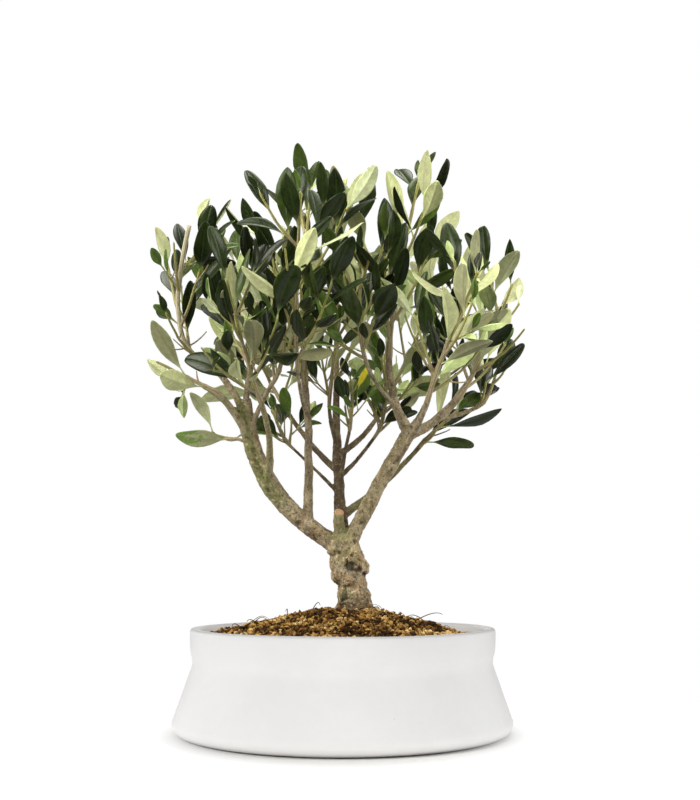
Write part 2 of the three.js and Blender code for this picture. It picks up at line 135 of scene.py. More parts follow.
BOUGHS = {
    "left": Bough("trunk", 0.78, (-51, -9, 172), (-72, -14, 236), (8, 5.2)),
    "right": Bough("trunk", 0.78, (24, -4, 169), (51, -6, 217), (7, 6.2)),
    "centre": Bough("trunk", 0.86, (-4, 19, 192), (-5, 28, 250), (6.2, 2.8)),
    "cut_stub": Bough("trunk", 0.84, (-2.6, -5, 143), (-2.6, -6.5, 154), (5.2, 4.3)),
    "centre_left": Bough("left", 0.22, (-25, -7, 200), (-28, -9, 250), (4.4, 2.9)),
    "left_low": Bough("left", 0.74, (-79, -19, 226), (-93, -23, 240), (3.7, 2.9)),
    "left_outer": Bough("left", 0.93, (-88, -13, 252), (-102, -16, 264), (3.4, 2.4)),
    "left_inner": Bough("left", 0.9, (-71, 2, 248), (-69, 16, 266), (3.2, 2.2)),
    "left_front": Bough("left", 0.55, (-52, -28, 205), (-58, -48, 232), (3.5, 2.3)),
    "left_spur": Bough("left", 0.82, (-58, -16, 234), (-51, -20, 246), (2.4, 1.8)),
    "left_twig": Bough("left", 0.62, (-69, -4, 203), (-80, 0, 208), (2.2, 1.6)),
    "side_front": Bough("centre_left", 0.72, (-30, -24, 240), (-32, -40, 256), (2, 1.6)),
    "back_left": Bough("centre", 0.45, (-24, 44, 208), (-44, 64, 236), (3.1, 2.2)),
    "back_right": Bough("centre", 0.55, (16, 47, 217), (32, 70, 242), (3, 2.1)),
    "centre_right": Bough("centre", 0.4, (12, 26, 197), (25, 27, 214), (2.2, 1.5)),
    "centre_spur": Bough("centre", 0.62, (-9, 9, 223), (-10, 0, 236), (2.2, 1.6)),
    "low_right": Bough("centre", 0.16, (32, 15, 178), (58, 10, 204.5), (3.6, 2)),
    "low_left": Bough("centre", 0.3, (-21, 15, 187), (-39, 13, 204), (1.8, 1.3)),
    "right_arm": Bough("right", 0.94, (68, -7, 221), (86, -11, 240), (4.8, 3.2)),
    "right_inner": Bough("right", 0.95, (37, -11, 240), (34, -14, 270), (4.8, 2.8)),
    "right_up": Bough("right", 0.97, (60, 5, 230), (66, 15, 248), (3.5, 2.5)),
    "right_front": Bough("right", 0.72, (50, -30, 208), (60, -48, 232), (3.2, 2.2)),
    "right_low": Bough("right_arm", 0.55, (88, 0, 227), (101, 2, 233), (2.4, 1.7)),
    "inner_front": Bough("right_inner", 0.3, (25, -21, 246), (17, -28, 260), (2, 1.6)),
    "low_centre": Bough("centre", 0.34, (3, 8, 205), (5, 2, 215), (1.9, 1.5)),
}

MASSES = {
    "left_low": Mass((-1, -0.1, 0.5), 45, 1, 63),
    "left_outer": Mass((0.05, -0.1, 1), 108, 7, 74),
    "left_inner": Mass((-0.25, 0.35, 1.05), 98, 5, 55),
    "left_front": Mass((-0.25, -0.5, 1), 85, 5, 24),
    "left_spur": Mass((0, -0.2, 1), 81, 4, 28),
    "left_twig": Mass((-0.85, 0.1, 0.3), 21, 1, 38),
    "side_front": Mass((0.05, -0.4, 1), 121, 5, 2),
    "centre_front": Mass((0.05, -0.1, 1), 141, 5, 83, "centre_left"),
    "centre_top": Mass((0, 0.12, 1.15), 156, 6, 42, "centre"),
    "centre_spur": Mass((0.15, -0.3, 1), 58, 2, 31),
    "back_left": Mass((-0.5, 0.45, 1), 89, 6, 35),
    "back_right": Mass((0.5, 0.45, 1.1), 93, 6, 12),
    "inner_right": Mass((0.05, 0.1, 1.05), 57, 5, 20, "centre_right"),
    "low_right": Mass((0.9, -0.1, 0.8), 36, 2, 51),
    "low_left": Mass((-0.3, 0.1, 0.7), 30, 3, 82),
    "right_outer": Mass((0.4, -0.05, 0.9), 89, 7, 68, "right_arm"),
    "right_low": Mass((0.4, 0.1, 0.95), 29, 2, 49),
    "right_centre": Mass((0.2, 0, 1), 130, 5, 18, "right_inner"),
    "right_back": Mass((0.3, 0.35, 1), 107, 7, 75, "right_up"),
    "right_front": Mass((0.5, -0.5, 1.2), 92, 5, 11),
    "low_centre": Mass((0.1, -0.2, 1), 34, 3, 7),
    "inner_front": Mass((0, -0.25, 0.95), 76, 7, 27),
}

CROWN_CENTRE = Vector((-4, 0, 300))
CROWN_HALF_SIZES = (144, 122, 138)
CROWN_FULLNESS = 2.3

# Ranks of a twig in the branching
LEADER_RANK, SIDE_RANK, SPRAY_RANK, BARE_RANK = range(4)
SHOOT_RADIUS = 1.8
SHOOT_TIP_SHARE = 0.6
SIDE_GIRTH = 0.6
SIDE_SHARE = 0.62
SIDE_TOP_SHARE = 0.5
SIDE_LENGTHS = (0.8, 1.15)
SIDE_LIFT = 0.8
SIDE_FROM = 0.06
SIDE_TO = 0.78
STAND_OFF = (28, 54)
FOLLOW = 0.15
BARE_SHARE = 0.2
LAST_LEAVES = 0.985
NODE_SPACING = 15
ROOM_SHARE = 0.66
ROOM_EXTRA = 30
SHOOT_SIDES = 3
SHOOT_STEPS = 2
LEADER_STEPS = 4

LEAF_LENGTH = 43
LEAF_WIDTH_SHARE = 0.36
LEAF_SOLID_THICKNESS = 0.9
LEAF_ROOT_AT = 0.35
LEAF_SPREAD = (18, 50)
LEAF_TO_LIGHT = 0.3
LEAF_ASIDE = 0.5
LEAF_ASTRAY = 22
LEAF_TWIST = 0.9
LEAF_LENGTHS = (0.78, 1.18)
LEAF_YOUNGEST = 0.84
LEAF_ARCHES = (-0.06, 0.14)
# Corners of a plain leaf: share of its length, share of its half width, level between under and upper face
LEAF_CORNERS = (
    (0, 0, 0),
    (0.34, -0.88, 0),
    (0.72, -0.9, 0),
    (1, 0, 0),
    (0.72, 0.9, 0),
    (0.34, 0.88, 0),
    (0.16, 0, 0.5),
    (0.16, 0, -0.5),
)
LEAF_RING = 6
LEAF_FACES = [(6, i, (i + 1) % LEAF_RING) for i in range(LEAF_RING)]
LEAF_FACES += [(7, (i + 1) % LEAF_RING, i) for i in range(LEAF_RING)]

# Finer growth that only the visual model has: small sprays, tip leaves and bare twigs
FINE_SEED = 500
TIP_LENGTHS = (0.26, 0.44)
TIP_SPREAD = 13
TIP_ARCH = 0.04
SPRAY_LENGTHS = (12, 26)
SPRAY_STAND_OFF = (34, 60)
SPRAY_RADIUS = 0.62
SPRAY_SHARES = (0.12, 0.36, 0.6)
SPRAY_ASTRAY = 0.1
SPRAY_LIFT = 0.4
SPRAY_LEAF = (0.4, 0.66)
SPRAY_LEAF_SHARES = (0.98, 0.55)
SPRAY_LEAF_ARCH = 0.05
# Masses that get no finer growth
PLAIN_MASSES = ("left_twig",)
# Share of the places for a small spray that are taken up outside the hollow, and in the thicker masses
SPRAYS_IN_LIGHT = 0.22
THICK_MASSES = {"left_outer": 0.8, "left_inner": 0.7, "left_front": 0.7, "left_low": 0.9, "left_spur": 0.6}
BARE_TWIG_LENGTHS = (9, 26)
BARE_TWIG_SHARE = 0.24
# Share of a shoot's leaves that has dropped at its foot, by rank; none has dropped at its tip
DROPPED = {LEADER_RANK: 0.7, SIDE_RANK: 0.4}
SHORT_SHOOT = 30
# The shaded hollow under the crown, where leaves are few and small
HOLLOW_CENTRE = Vector((14, -15, 244))
HOLLOW_HALF_SIZES = (62, 105, 44)
HOLLOW_KEPT = 0.8
HOLLOW_LEAF = (0.45, 0.75)
# A bare, pruned leading shoot that keeps only the leaves between two shares of its length
BARE_LEADERS = {"left_outer": (0.6, 0.84)}
# How near to a bare leader a leaf may show, and where the two are compared
LEADER_VIEW = 7
LEADER_MARKS = 24
LEAF_MARKS = (0.15, 0.3, 0.45, 0.6, 0.75, 0.9, 1)
# Where the photograph was taken from, and the gaps in the crown where it shows sky: X, Z and radius
SEEN_FROM = Vector((5.3, -813.8, 117))
SKY_GAPS = ((44, 278, 12), (23, 371, 8), (49, 362, 6))


def mix(low, high, share):
    """The value that lies at a share of the way from low to high."""
    return low + (high - low) * share


def smooth_step(low, high, values):
    """0 below low, 1 above high, and a soft slope between."""
    share = np.clip((values - low) / (high - low), 0, 1)
    return share * share * (3 - 2 * share)


def square_to(axis, wish):
    """The unit vector square to an axis that is nearest to a wished-for one."""
    found = wish - axis * wish.dot(axis)
    if found.length_squared < 1e-6:
        found = Vector((1, 0, 0)) - axis * axis.x
    return found.normalized()


def turned(vector, axis, angle):
    """A vector turned about an axis."""
    return Matrix.Rotation(angle, 3, axis) @ vector


def round_about(axis, wish, angle):
    """A unit vector square to an axis, an angle on from a wished-for one."""
    return turned(square_to(axis, wish), axis, angle)


def leaning(axis, out, degrees):
    """A way that leans from an axis towards a side."""
    angle = math.radians(degrees)
    return axis * math.cos(angle) + out * math.sin(angle)


class Dice:
    """Repeatable draws from 0 to 1, the same as the solids' own."""

    WARM_UP = 4

    def __init__(self, seed):
        self.state = seed
        for _ in range(self.WARM_UP):
            self.draw()

    def draw(self):
        self.state = (self.state * 1664525 + 1013904223) % 2**32
        return self.state / 2**32

    def between(self, low, high):
        return mix(low, high, self.draw())

    def astray(self, width):
        return width * (self.draw() - 0.5)


class Bow:
    """A curve from start to end that leans towards its control point."""

    def __init__(self, start, control, end):
        self.start = Vector(start)
        self.control = Vector(control)
        self.end = Vector(end)

    @classmethod
    def through(cls, start, middle, end):
        start, middle, end = Vector(start), Vector(middle), Vector(end)
        return cls(start, middle * 2 - start * 0.5 - end * 0.5, end)

    def point(self, share):
        back = 1 - share
        return self.start * back**2 + self.control * (2 * back * share) + self.end * share**2

    def tangent(self, share):
        pull = (self.control - self.start) * (1 - share) + (self.end - self.control) * share
        return pull.normalized()

    def length(self, steps=24):
        points = [self.point(step / steps) for step in range(steps + 1)]
        return sum((b - a).length for a, b in zip(points, points[1:]))


def trunk_radius(share, angle):
    """Radius of the trunk by length and angle: taper, burrs and root flare."""
    girth = np.interp(share, np.linspace(0, 1, len(TRUNK_GIRTH)), TRUNK_GIRTH)
    flare = ROOT_FLARE * max(0, 1 - share / ROOT_REACH) ** 2
    lobes = 1 - ROOT_LOBE + ROOT_LOBE * math.cos(ROOTS * angle)
    burrs = math.sin(BURRS_ROUND * angle + BURR_TWIST * share) * math.sin(BURR_WAVES * share)
    return girth * (1 + BURR * burrs) + flare * lobes


def tapering(foot, tip, power=1):
    """Radius of a limb that thins to its tip, by the share of its length."""

    def radius_at(share, angle):
        return mix(foot, tip, share**power)

    return radius_at


def prism_along(curve, radius_at, sides, steps):
    """Corners and faces of a closed prism along a curve, as the solids have it."""
    corners = []
    across = Vector((1, 0, 0))
    for step in range(steps + 1):
        share = step / steps
        along = curve.tangent(share)
        across = square_to(along, across)
        aside = across.cross(along)
        for side in range(sides):
            angle = math.pi / 2 - FULL_TURN * side / sides
            out = across * math.cos(angle) + aside * math.sin(angle)
            corners.append(curve.point(share) + out * radius_at(share, angle))
    faces = [tuple(range(sides)), tuple(range(steps * sides, (steps + 1) * sides))]
    for corner in range(steps * sides):
        beside = corner + 1 if (corner + 1) % sides else corner + 1 - sides
        faces.append((corner, beside, beside + sides, corner + sides))
    return corners, faces


class Limb(NamedTuple):
    """The trunk, a bough or a root: its curve, radius, and the sides and steps of its solid."""

    name: str
    curve: Bow
    radius_at: Callable
    sides: int = SLIM_SIDES
    steps: int = BOUGH_STEPS

    def cutter(self):
        def wider(share, angle):
            return self.radius_at(share, angle) + CLEARANCE

        return prism_along(self.curve, wider, self.sides, self.steps)


class Leaf(NamedTuple):
    """A leaf's place on its twig, its way, its upper side, its length and its bend."""

    root: Vector
    along: Vector
    face: Vector
    length: float
    arch: float
    at: float

    def tip(self):
        return self.root + self.along * self.length

    def middle_line(self):
        return [self.root + self.along * (self.length * share) for share in LEAF_MARKS]

    def solid(self, grow):
        across = self.face.cross(self.along)
        half_width = self.length * LEAF_WIDTH_SHARE / 2 + grow
        corners = [
            self.root
            + self.along * mix(LEAF_ROOT_AT, self.length + grow, along)
            + across * (half_width * sideways)
            + self.face * (level * (LEAF_SOLID_THICKNESS + 2 * grow) - self.arch * self.length * along**2)
            for along, sideways, level in LEAF_CORNERS
        ]
        return corners, LEAF_FACES


class Shoot:
    """A twig with its leaves: curve, length, radii at foot and tip, and rank in the branching."""

    def __init__(self, curve, length, radii, across, rank, steps=SHOOT_STEPS):
        self.curve = curve
        self.length = length
        self.radii = radii
        self.across = across
        self.rank = rank
        self.leaves = []
        self.steps = steps
        self.cut_off = rank == BARE_RANK

    def radius_at(self, share, angle=0):
        return mix(*self.radii, share)

    def solid(self):
        return prism_along(self.curve, self.radius_at, SHOOT_SIDES, self.steps)


class Placed:
    """All shapes that stand already, to ask whether a new one would touch any."""

    def __init__(self):
        self.trees = []
        self.lows = []
        self.highs = []

    def add(self, shape):
        self.trees.append(BVHTree.FromPolygons(*shape))
        self.lows.append(np.min(shape[0], axis=0))
        self.highs.append(np.max(shape[0], axis=0))
        return len(self.trees) - 1

    def touches(self, shape, but=()):
        low = np.min(shape[0], axis=0)
        high = np.max(shape[0], axis=0)
        near = np.all((np.array(self.lows) <= high) & (np.array(self.highs) >= low), axis=1)
        tree = BVHTree.FromPolygons(*shape)
        return any(i not in but and tree.overlap(self.trees[i]) for i in np.flatnonzero(near))


class Room:
    """The space that a mass of foliage keeps to: a ball round it, inside the crown's egg."""

    def __init__(self, mass, foot):
        aim = Vector(mass.aim).normalized()
        self.centre = foot + aim * (mass.reach / 2)
        self.radius = mass.reach * ROOM_SHARE + ROOM_EXTRA

    def holds(self, point):
        out = point - CROWN_CENTRE
        shares = [abs(out[k] / CROWN_HALF_SIZES[k]) ** CROWN_FULLNESS for k in range(3)]
        return (point - self.centre).length <= self.radius and sum(shares) <= 1


def in_hollow(point):
    out = point - HOLLOW_CENTRE
    return sum((out[k] / HOLLOW_HALF_SIZES[k]) ** 2 for k in range(3)) <= 1


def leaf_on(curve, share, out, degrees, twist, length, arch):
    """A leaf that stands off a twig, its face turned part of the way up."""
    tangent = curve.tangent(share)
    along = leaning(tangent, out, degrees)
    face = leaning(-out, tangent, degrees).lerp(square_to(along, UP), LEAF_TO_LIGHT)
    face = square_to(along, turned(face, along, twist))
    return Leaf(curve.point(share), along, face, length, arch, share)


def leaves_along(shoot, dice):
    """Opposite pairs of leaves from a shoot's tip down, each a quarter turn on."""
    pairs = max(2, math.floor(shoot.length * (1 - BARE_SHARE) / NODE_SPACING + 0.5) + 1)
    turn = dice.draw() * math.pi
    leaves = []
    for pair in range(pairs - 1, -1, -1):
        share = mix(BARE_SHARE, LAST_LEAVES, pair / (pairs - 1))
        tangent = shoot.curve.tangent(share)
        side = round_about(tangent, shoot.across, turn + pair * math.pi / 2)
        for sign in (1, -1):
            out = turned(side * sign, tangent, dice.astray(LEAF_ASIDE))
            degrees = mix(LEAF_SPREAD[1], LEAF_SPREAD[0], share) + dice.astray(LEAF_ASTRAY)
            twist = dice.astray(LEAF_TWIST)
            age = LEAF_YOUNGEST if pair == pairs - 1 else 1
            length = LEAF_LENGTH * age * dice.between(*LEAF_LENGTHS)
            arch = dice.between(*LEAF_ARCHES)
            leaves.append(leaf_on(shoot.curve, share, out, degrees, twist, length, arch))
    return leaves


def lifted_shoot(start, heading, length, radius, lift, rank):
    """A twig that sets out along a heading and turns up towards the light."""
    end = (heading + UP * lift).normalized()
    middle = start + heading * (length / 2)
    curve = Bow(start, middle, middle + end * (length / 2))
    radii = (radius, radius * SHOOT_TIP_SHARE)
    return Shoot(curve, length, radii, square_to(heading, ASKEW), rank)


def shoots_of(mass, bough, dice):
    """A mass's leading shoot, then its side shoots by the golden angle."""
    heading = bough.curve.tangent(1)
    start = bough.curve.point(1) + heading * CLEARANCE
    onward = mass.reach * FOLLOW
    tip = start + heading * onward + Vector(mass.aim).normalized() * (mass.reach - onward)
    curve = Bow(start, start + heading * (2 * onward), tip)
    radii = (SHOOT_RADIUS, SHOOT_RADIUS * SHOOT_TIP_SHARE)
    leader = Shoot(curve, mass.reach, radii, square_to(heading, UP), LEADER_RANK, LEADER_STEPS)
    shoots = [leader]
    turn = dice.draw() * FULL_TURN
    for i in range(mass.shoots):
        share = mix(SIDE_FROM, SIDE_TO, i / (mass.shoots - 1) if mass.shoots > 1 else 0.5)
        tangent = curve.tangent(share)
        out = round_about(tangent, leader.across, turn + i * GOLDEN_ANGLE)
        way = leaning(tangent, out, dice.between(*STAND_OFF))
        usual = mass.reach * SIDE_SHARE * mix(1, SIDE_TOP_SHARE, share)
        length = usual * dice.between(*SIDE_LENGTHS)
        radius = SHOOT_RADIUS * SIDE_GIRTH
        shoots.append(lifted_shoot(curve.point(share), way, length, radius, SIDE_LIFT, SIDE_RANK))
    return shoots


def as_seen(point):
    """Where a point shows from the front: X and Z on the plane through the origin."""
    away = (point - SEEN_FROM) * (SEEN_FROM.y / (SEEN_FROM.y - point.y))
    return SEEN_FROM.x + away.x, SEEN_FROM.z + away.z


def hides(leaf, leader):
    """True if a leaf crosses in front of a leading shoot."""
    marks = [leader.point(step / LEADER_MARKS) for step in range(LEADER_MARKS + 1)]
    for point in leaf.middle_line():
        x, z = as_seen(point)
        for mark in marks:
            mark_x, mark_z = as_seen(mark)
            beside = abs(x - mark_x) < LEADER_VIEW and abs(z - mark_z) < LEADER_VIEW
            if beside and point.y < mark.y:
                return True
    return False


def fills_gap(leaf):
    """True if a leaf stands in one of the sky gaps."""
    for point in leaf.middle_line():
        x, z = as_seen(point)
        if any(math.hypot(x - gap_x, z - gap_z) < radius for gap_x, gap_z, radius in SKY_GAPS):
            return True
    return False


def in_the_way(leaf, leaders):
    """True if a leaf fills a sky gap or hides a bare leader."""
    return fills_gap(leaf) or any(hides(leaf, leader) for leader in leaders)


class Spray:
    """One mass of foliage as it grew: its shoots, each with the leaves that found room."""

    def __init__(self, name, mass, bough):
        self.name = name
        self.node = f"leaves_{name}"
        self.bough = bough
        self.dice = Dice(mass.seed)
        self.fine_dice = Dice(mass.seed + FINE_SEED)
        self.room = Room(mass, bough.curve.point(1))
        self.wished = shoots_of(mass, bough, self.dice)
        self.shoots = []
        self.marks = []

    def grow_twigs(self, placed, own_bough):
        kept = []
        for shoot in self.wished:
            shoot.leaves = leaves_along(shoot, self.dice)
            shape = shoot.solid()
            if self.room.holds(shoot.curve.point(1)) and not placed.touches(shape, but=(own_bough,)):
                self.shoots.append(shoot)
                kept.append(shape)
        self.marks = [placed.add(shape) for shape in kept]

    def grow_leaves(self, placed):
        for shoot, mark in zip(self.shoots, self.marks):
            shoot.leaves = [leaf for leaf in shoot.leaves if self.takes(leaf, placed, mark)]

    def takes(self, leaf, placed, own_twig):
        if not self.room.holds(leaf.tip()) or placed.touches(leaf.solid(CLEARANCE), but=(own_twig,)):
            return False
        placed.add(leaf.solid(0))
        return True

    def thin_out(self):
        """Drops the oldest leaves, and lets those in the shade stay small."""
        dice = self.fine_dice
        for shoot in self.shoots:
            bare = shoot.rank == LEADER_RANK and self.name in BARE_LEADERS
            low, high = BARE_LEADERS[self.name] if bare else (0, 1)
            kept = []
            for leaf in shoot.leaves:
                chance = dice.draw()
                size = dice.between(*HOLLOW_LEAF)
                shaded = in_hollow(leaf.root + leaf.along * (leaf.length / 2))
                if shaded:
                    leaf = leaf._replace(length=leaf.length * size)
                stays = shoot.length < SHORT_SHOOT or chance > DROPPED[shoot.rank] * (1 - leaf.at)
                lit = not shaded or chance < HOLLOW_KEPT
                if stays and lit and low <= leaf.at <= high:
                    kept.append(leaf)
            shoot.leaves = kept

    def grow_finer(self, placed):
        """Small leaves at the tips, then sprays and bare twigs in what space is left."""
        if self.name in PLAIN_MASSES:
            return
        chance = THICK_MASSES.get(self.name, SPRAYS_IN_LIGHT)
        dice = self.fine_dice
        for shoot, mark in list(zip(self.shoots, self.marks)):
            if shoot.rank == LEADER_RANK and self.name in BARE_LEADERS:
                shoot.cut_off = True
                continue
            self.add_tip_leaves(shoot, mark, placed, dice)
            for share in SPRAY_SHARES:
                if in_hollow(shoot.curve.point(share)) or dice.draw() < chance:
                    self.add_small_spray(shoot, mark, placed, dice, share + dice.astray(SPRAY_ASTRAY))

    def add_tip_leaves(self, shoot, mark, placed, dice):
        tangent = shoot.curve.tangent(1)
        side = round_about(tangent, ASKEW, dice.draw() * math.pi)
        for sign in (1, -1):
            length = LEAF_LENGTH * dice.between(*TIP_LENGTHS)
            degrees = TIP_SPREAD + dice.astray(LEAF_ASTRAY / 2)
            leaf = leaf_on(shoot.curve, 1, side * sign, degrees, dice.astray(LEAF_TWIST), length, TIP_ARCH)
            if self.takes(leaf, placed, mark):
                shoot.leaves.append(leaf)

    def add_small_spray(self, shoot, mark, placed, dice, share):
        tangent = shoot.curve.tangent(share)
        out = round_about(tangent, ASKEW, dice.draw() * FULL_TURN)
        way = leaning(tangent, out, dice.between(*SPRAY_STAND_OFF))
        bare = dice.draw() < BARE_TWIG_SHARE
        length = dice.between(*(BARE_TWIG_LENGTHS if bare else SPRAY_LENGTHS))
        rank = BARE_RANK if bare else SPRAY_RANK
        twig = lifted_shoot(shoot.curve.point(share), way, length, SPRAY_RADIUS, SPRAY_LIFT, rank)
        leaves = [] if bare else self.small_leaves(twig, dice)
        if not self.room.holds(twig.curve.point(1)) or placed.touches(twig.solid(), but=(mark, *self.marks)):
            return
        own_mark = placed.add(twig.solid())
        twig.leaves = [leaf for leaf in leaves if self.takes(leaf, placed, own_mark)]
        if twig.leaves or bare:
            self.shoots.append(twig)
            self.marks.append(own_mark)

    def small_leaves(self, twig, dice):
        leaves = []
        turn = dice.draw() * math.pi
        for pair, share in enumerate(SPRAY_LEAF_SHARES):
            side = round_about(twig.curve.tangent(share), ASKEW, turn + pair * math.pi / 2)
            for sign in (1, -1):
                degrees = mix(LEAF_SPREAD[1], LEAF_SPREAD[0], share) + dice.astray(LEAF_ASTRAY)
                length = LEAF_LENGTH * dice.between(*SPRAY_LEAF)
                twist = dice.astray(LEAF_TWIST)
                out = side * sign
                leaves.append(leaf_on(twig.curve, share, out, degrees, twist, length, SPRAY_LEAF_ARCH))
        return leaves

    def clear_view(self, leaders):
        """Takes away the leaves that are in the way, but for a bare leader's own."""
        for shoot in self.shoots:
            if not shoot.cut_off:
                shoot.leaves = [leaf for leaf in shoot.leaves if not in_the_way(leaf, leaders)]


class Tree:
    """The whole tree: trunk, boughs and sprays of foliage."""

    def __init__(self):
        foot = (*TRUNK_FOOT, GROUND - TRUNK_BURIED)
        curve = Bow.through(foot, TRUNK_BELLY, TRUNK_FORK)
        self.limbs = {"trunk": Limb("trunk", curve, trunk_radius, TRUNK_SIDES, TRUNK_STEPS)}
        for name, bough in BOUGHS.items():
            self.limbs[name] = self.grown_bough(name, bough)
        placed = Placed()
        marks = {name: placed.add(limb.cutter()) for name, limb in self.limbs.items()}
        self.sprays = []
        for name, mass in MASSES.items():
            bough = mass.bough or name
            spray = Spray(name, mass, self.limbs[bough])
            spray.grow_twigs(placed, marks[bough])
            self.sprays.append(spray)
        for spray in self.sprays:
            spray.grow_leaves(placed)
        for spray in self.sprays:
            spray.thin_out()
            spray.grow_finer(placed)
        leaders = [spray.wished[0].curve for spray in self.sprays if spray.name in BARE_LEADERS]
        for spray in self.sprays:
            spray.clear_view(leaders)

    def grown_bough(self, name, bough):
        start = self.limbs[bough.parent].curve.point(bough.at)
        curve = Bow.through(start, bough.via, bough.tip)
        sides = STOUT_SIDES if bough.radii[0] > STOUT_FROM else SLIM_SIDES
        return Limb(name, curve, tapering(*bough.radii, BOUGH_TAPER), sides)


# Sizes and colours that a user would change


def length(name, description, default):
    return FloatProperty(name=name, description=description, default=default, unit="LENGTH", precision=4)


def colour(name, description, default):
    return FloatVectorProperty(
        name=name, description=description, default=default, subtype="COLOR", size=3, min=0, max=1
    )


def share(name, description, default):
    return FloatProperty(name=name, description=description, default=default, subtype="FACTOR", min=0, max=1)


def power(name, description, default):
    return FloatProperty(name=name, description=description, default=default, unit="POWER")


class PotLook(bpy.types.PropertyGroup):
    """The glazed pot."""

    height: length("Height", "Underside to rim", POT_HIGH[2])
    foot_radius: length("Foot radius", "Radius of the flat underside", 0.111)
    foot_lift: length("Foot lift", "Rise of the round between underside and skirt", 0.0006)
    skirt_radius: length("Skirt radius", "Radius at the widest point", POT_HIGH[0])
    skirt_height: length("Skirt height", "Height of the widest point", 0.0085)
    crease_radius: length("Crease radius", "Radius of the soft crease under the collar", 0.1056)
    crease_height: length("Crease height", "Height of the soft crease", 0.049)
    crease_depth: length("Crease depth", "How far the crease draws in", 0.002)
    crease_half: length("Crease half height", "From the crease's middle to its edges", 0.005)
    rim_radius: length("Rim radius", "Outer radius of the rim", 0.1088)
    rim_round: length("Rim round", "Radius of the rim's edges", 0.0026)
    wall: length("Wall", "Thickness of the wall", 0.0075)
    floor: length("Floor", "Thickness of the floor", 0.01)
    unevenness: length("Unevenness", "How far the hand-thrown wall strays", 0.0006)
    glaze: colour("Glaze", "Colour of the glaze", (0.80, 0.795, 0.785))
    shade: colour("Glaze shade", "Colour where the glaze lies thin", (0.775, 0.768, 0.755))
    roughness: share("Roughness", "Roughness of the glaze", 0.48)


class SoilLook(bpy.types.PropertyGroup):
    """The loose soil in the pot."""

    edge_height: length("Edge height", "Height of the soil at the pot's wall", 0.0641)
    top_radius: length("Top radius", "Radius of the mound's top", 0.027)
    settled: length("Settled", "How far the loose grains' top lies under the solid mound's", 0.002)
    slump: length("Slump", "How much lower the top is on the left", 0.0018)
    lump: length("Lumps", "How far the slope swells and sinks", 0.0016)
    lump_pitch: length("Lump pitch", "From a swelling to the next hollow", 0.026)
    lean: length("Lean", "How far the edge sinks on the right and rises on the left", 0.0021)
    grain_count: IntProperty(
        name="Grains", description="Number of loose grains", default=9600, subtype="UNSIGNED"
    )
    grain_small: length("Smallest grain", "Length of the smallest grains", 0.0009)
    grain_large: length("Largest grain", "Length of the largest grains", 0.0042)
    # Also the bed under the grains, which shows in their gaps as painted shade
    dark: colour("Dark", "Colour of the damp soil", (0.042, 0.019, 0.005))
    brown: colour("Brown", "Colour of most grains", (0.21, 0.105, 0.028))
    ochre: colour("Ochre", "Colour of the clay grains", (0.44, 0.255, 0.070))
    pale: colour("Pale", "Colour of the dry grains", (0.66, 0.46, 0.19))


class BarkLook(bpy.types.PropertyGroup):
    """The bark of trunk, boughs and twigs."""

    mesh_size: length("Mesh size", "Edge length of the bark's mesh", 0.00058)
    relief: length("Relief", "Height of the lumps on the trunk", 0.0014)
    pale: colour("Pale", "Colour of weathered bark", (0.67, 0.54, 0.345))
    tan: colour("Tan", "Colour of most bark", (0.24, 0.17, 0.09))
    warm: colour("Warm", "Colour of the warmer patches of the trunk", (0.44, 0.285, 0.125))
    lichen: colour("Lichen", "Colour of the grey crust on boughs", (0.5, 0.46, 0.36))
    # Brown: painted shade on the boughs that lie in shade inside the crown, over their own browner bark, and
    # the soil's stain at the trunk's foot
    brown: colour("Brown", "Colour of the shaded inner boughs", (0.115, 0.075, 0.038))
    # Near-black in the sunk pits, scars and knots: their own darker bark, and painted shade in these hollows
    dark: colour("Dark", "Colour of pits and cracks", (0.028, 0.02, 0.012))
    moss: colour("Moss", "Green tinge of the fork and the left bough", (0.23, 0.235, 0.08))
    cut: colour("Cut wood", "Colour of a pruned face", (0.53, 0.31, 0.17))
    limb: colour("Limb", "Colour of last year's shoots", (0.42, 0.34, 0.19))
    ashen: colour("Ashen", "Grey of the boughs", (0.33, 0.285, 0.17))
    bare: colour("Bare", "Bark of a bare stem", (0.56, 0.50, 0.34))
    young: colour("Young twig", "Colour of this year's twigs", (0.40, 0.38, 0.11))


class LeafLook(bpy.types.PropertyGroup):
    """The leaves: dark and glossy above, pale and dull below."""

    thickness: length("Thickness", "Thickness of a blade", 0.0004)
    deep: colour("Deep", "Darkest upper face", (0.007, 0.012, 0.003))
    bottle: colour("Bottle", "Common upper face", (0.015, 0.025, 0.005))
    olive: colour("Olive", "Lighter upper face", (0.036, 0.056, 0.010))
    fresh: colour("Fresh", "Upper face of young leaves", (0.075, 0.125, 0.022))
    silver: colour("Silver", "Palest under face", (0.66, 0.72, 0.43))
    sage: colour("Sage", "Common under face", (0.45, 0.475, 0.25))
    # Painted shade: a darker copy of the sage under face, dealt at random, that stands in for under faces in
    # shade
    dull: colour("Dull", "Under face of an old leaf", (0.27, 0.275, 0.145))
    straw: colour("Straw", "Yellowish under face", (0.60, 0.64, 0.32))
    lime: colour("Lime", "Under face of young leaves", (0.58, 0.70, 0.30))
    rust: colour("Rust", "Stains on the under face", (0.30, 0.235, 0.11))
    gold: colour("Gold", "A leaf about to drop", (0.72, 0.60, 0.03))
    blotch: colour("Blotch", "Green blotches on an old leaf", (0.15, 0.31, 0.025))
    gloss: share("Roughness above", "Roughness of the upper face", 0.22)
    felt: share("Roughness below", "Roughness of the under face", 0.66)


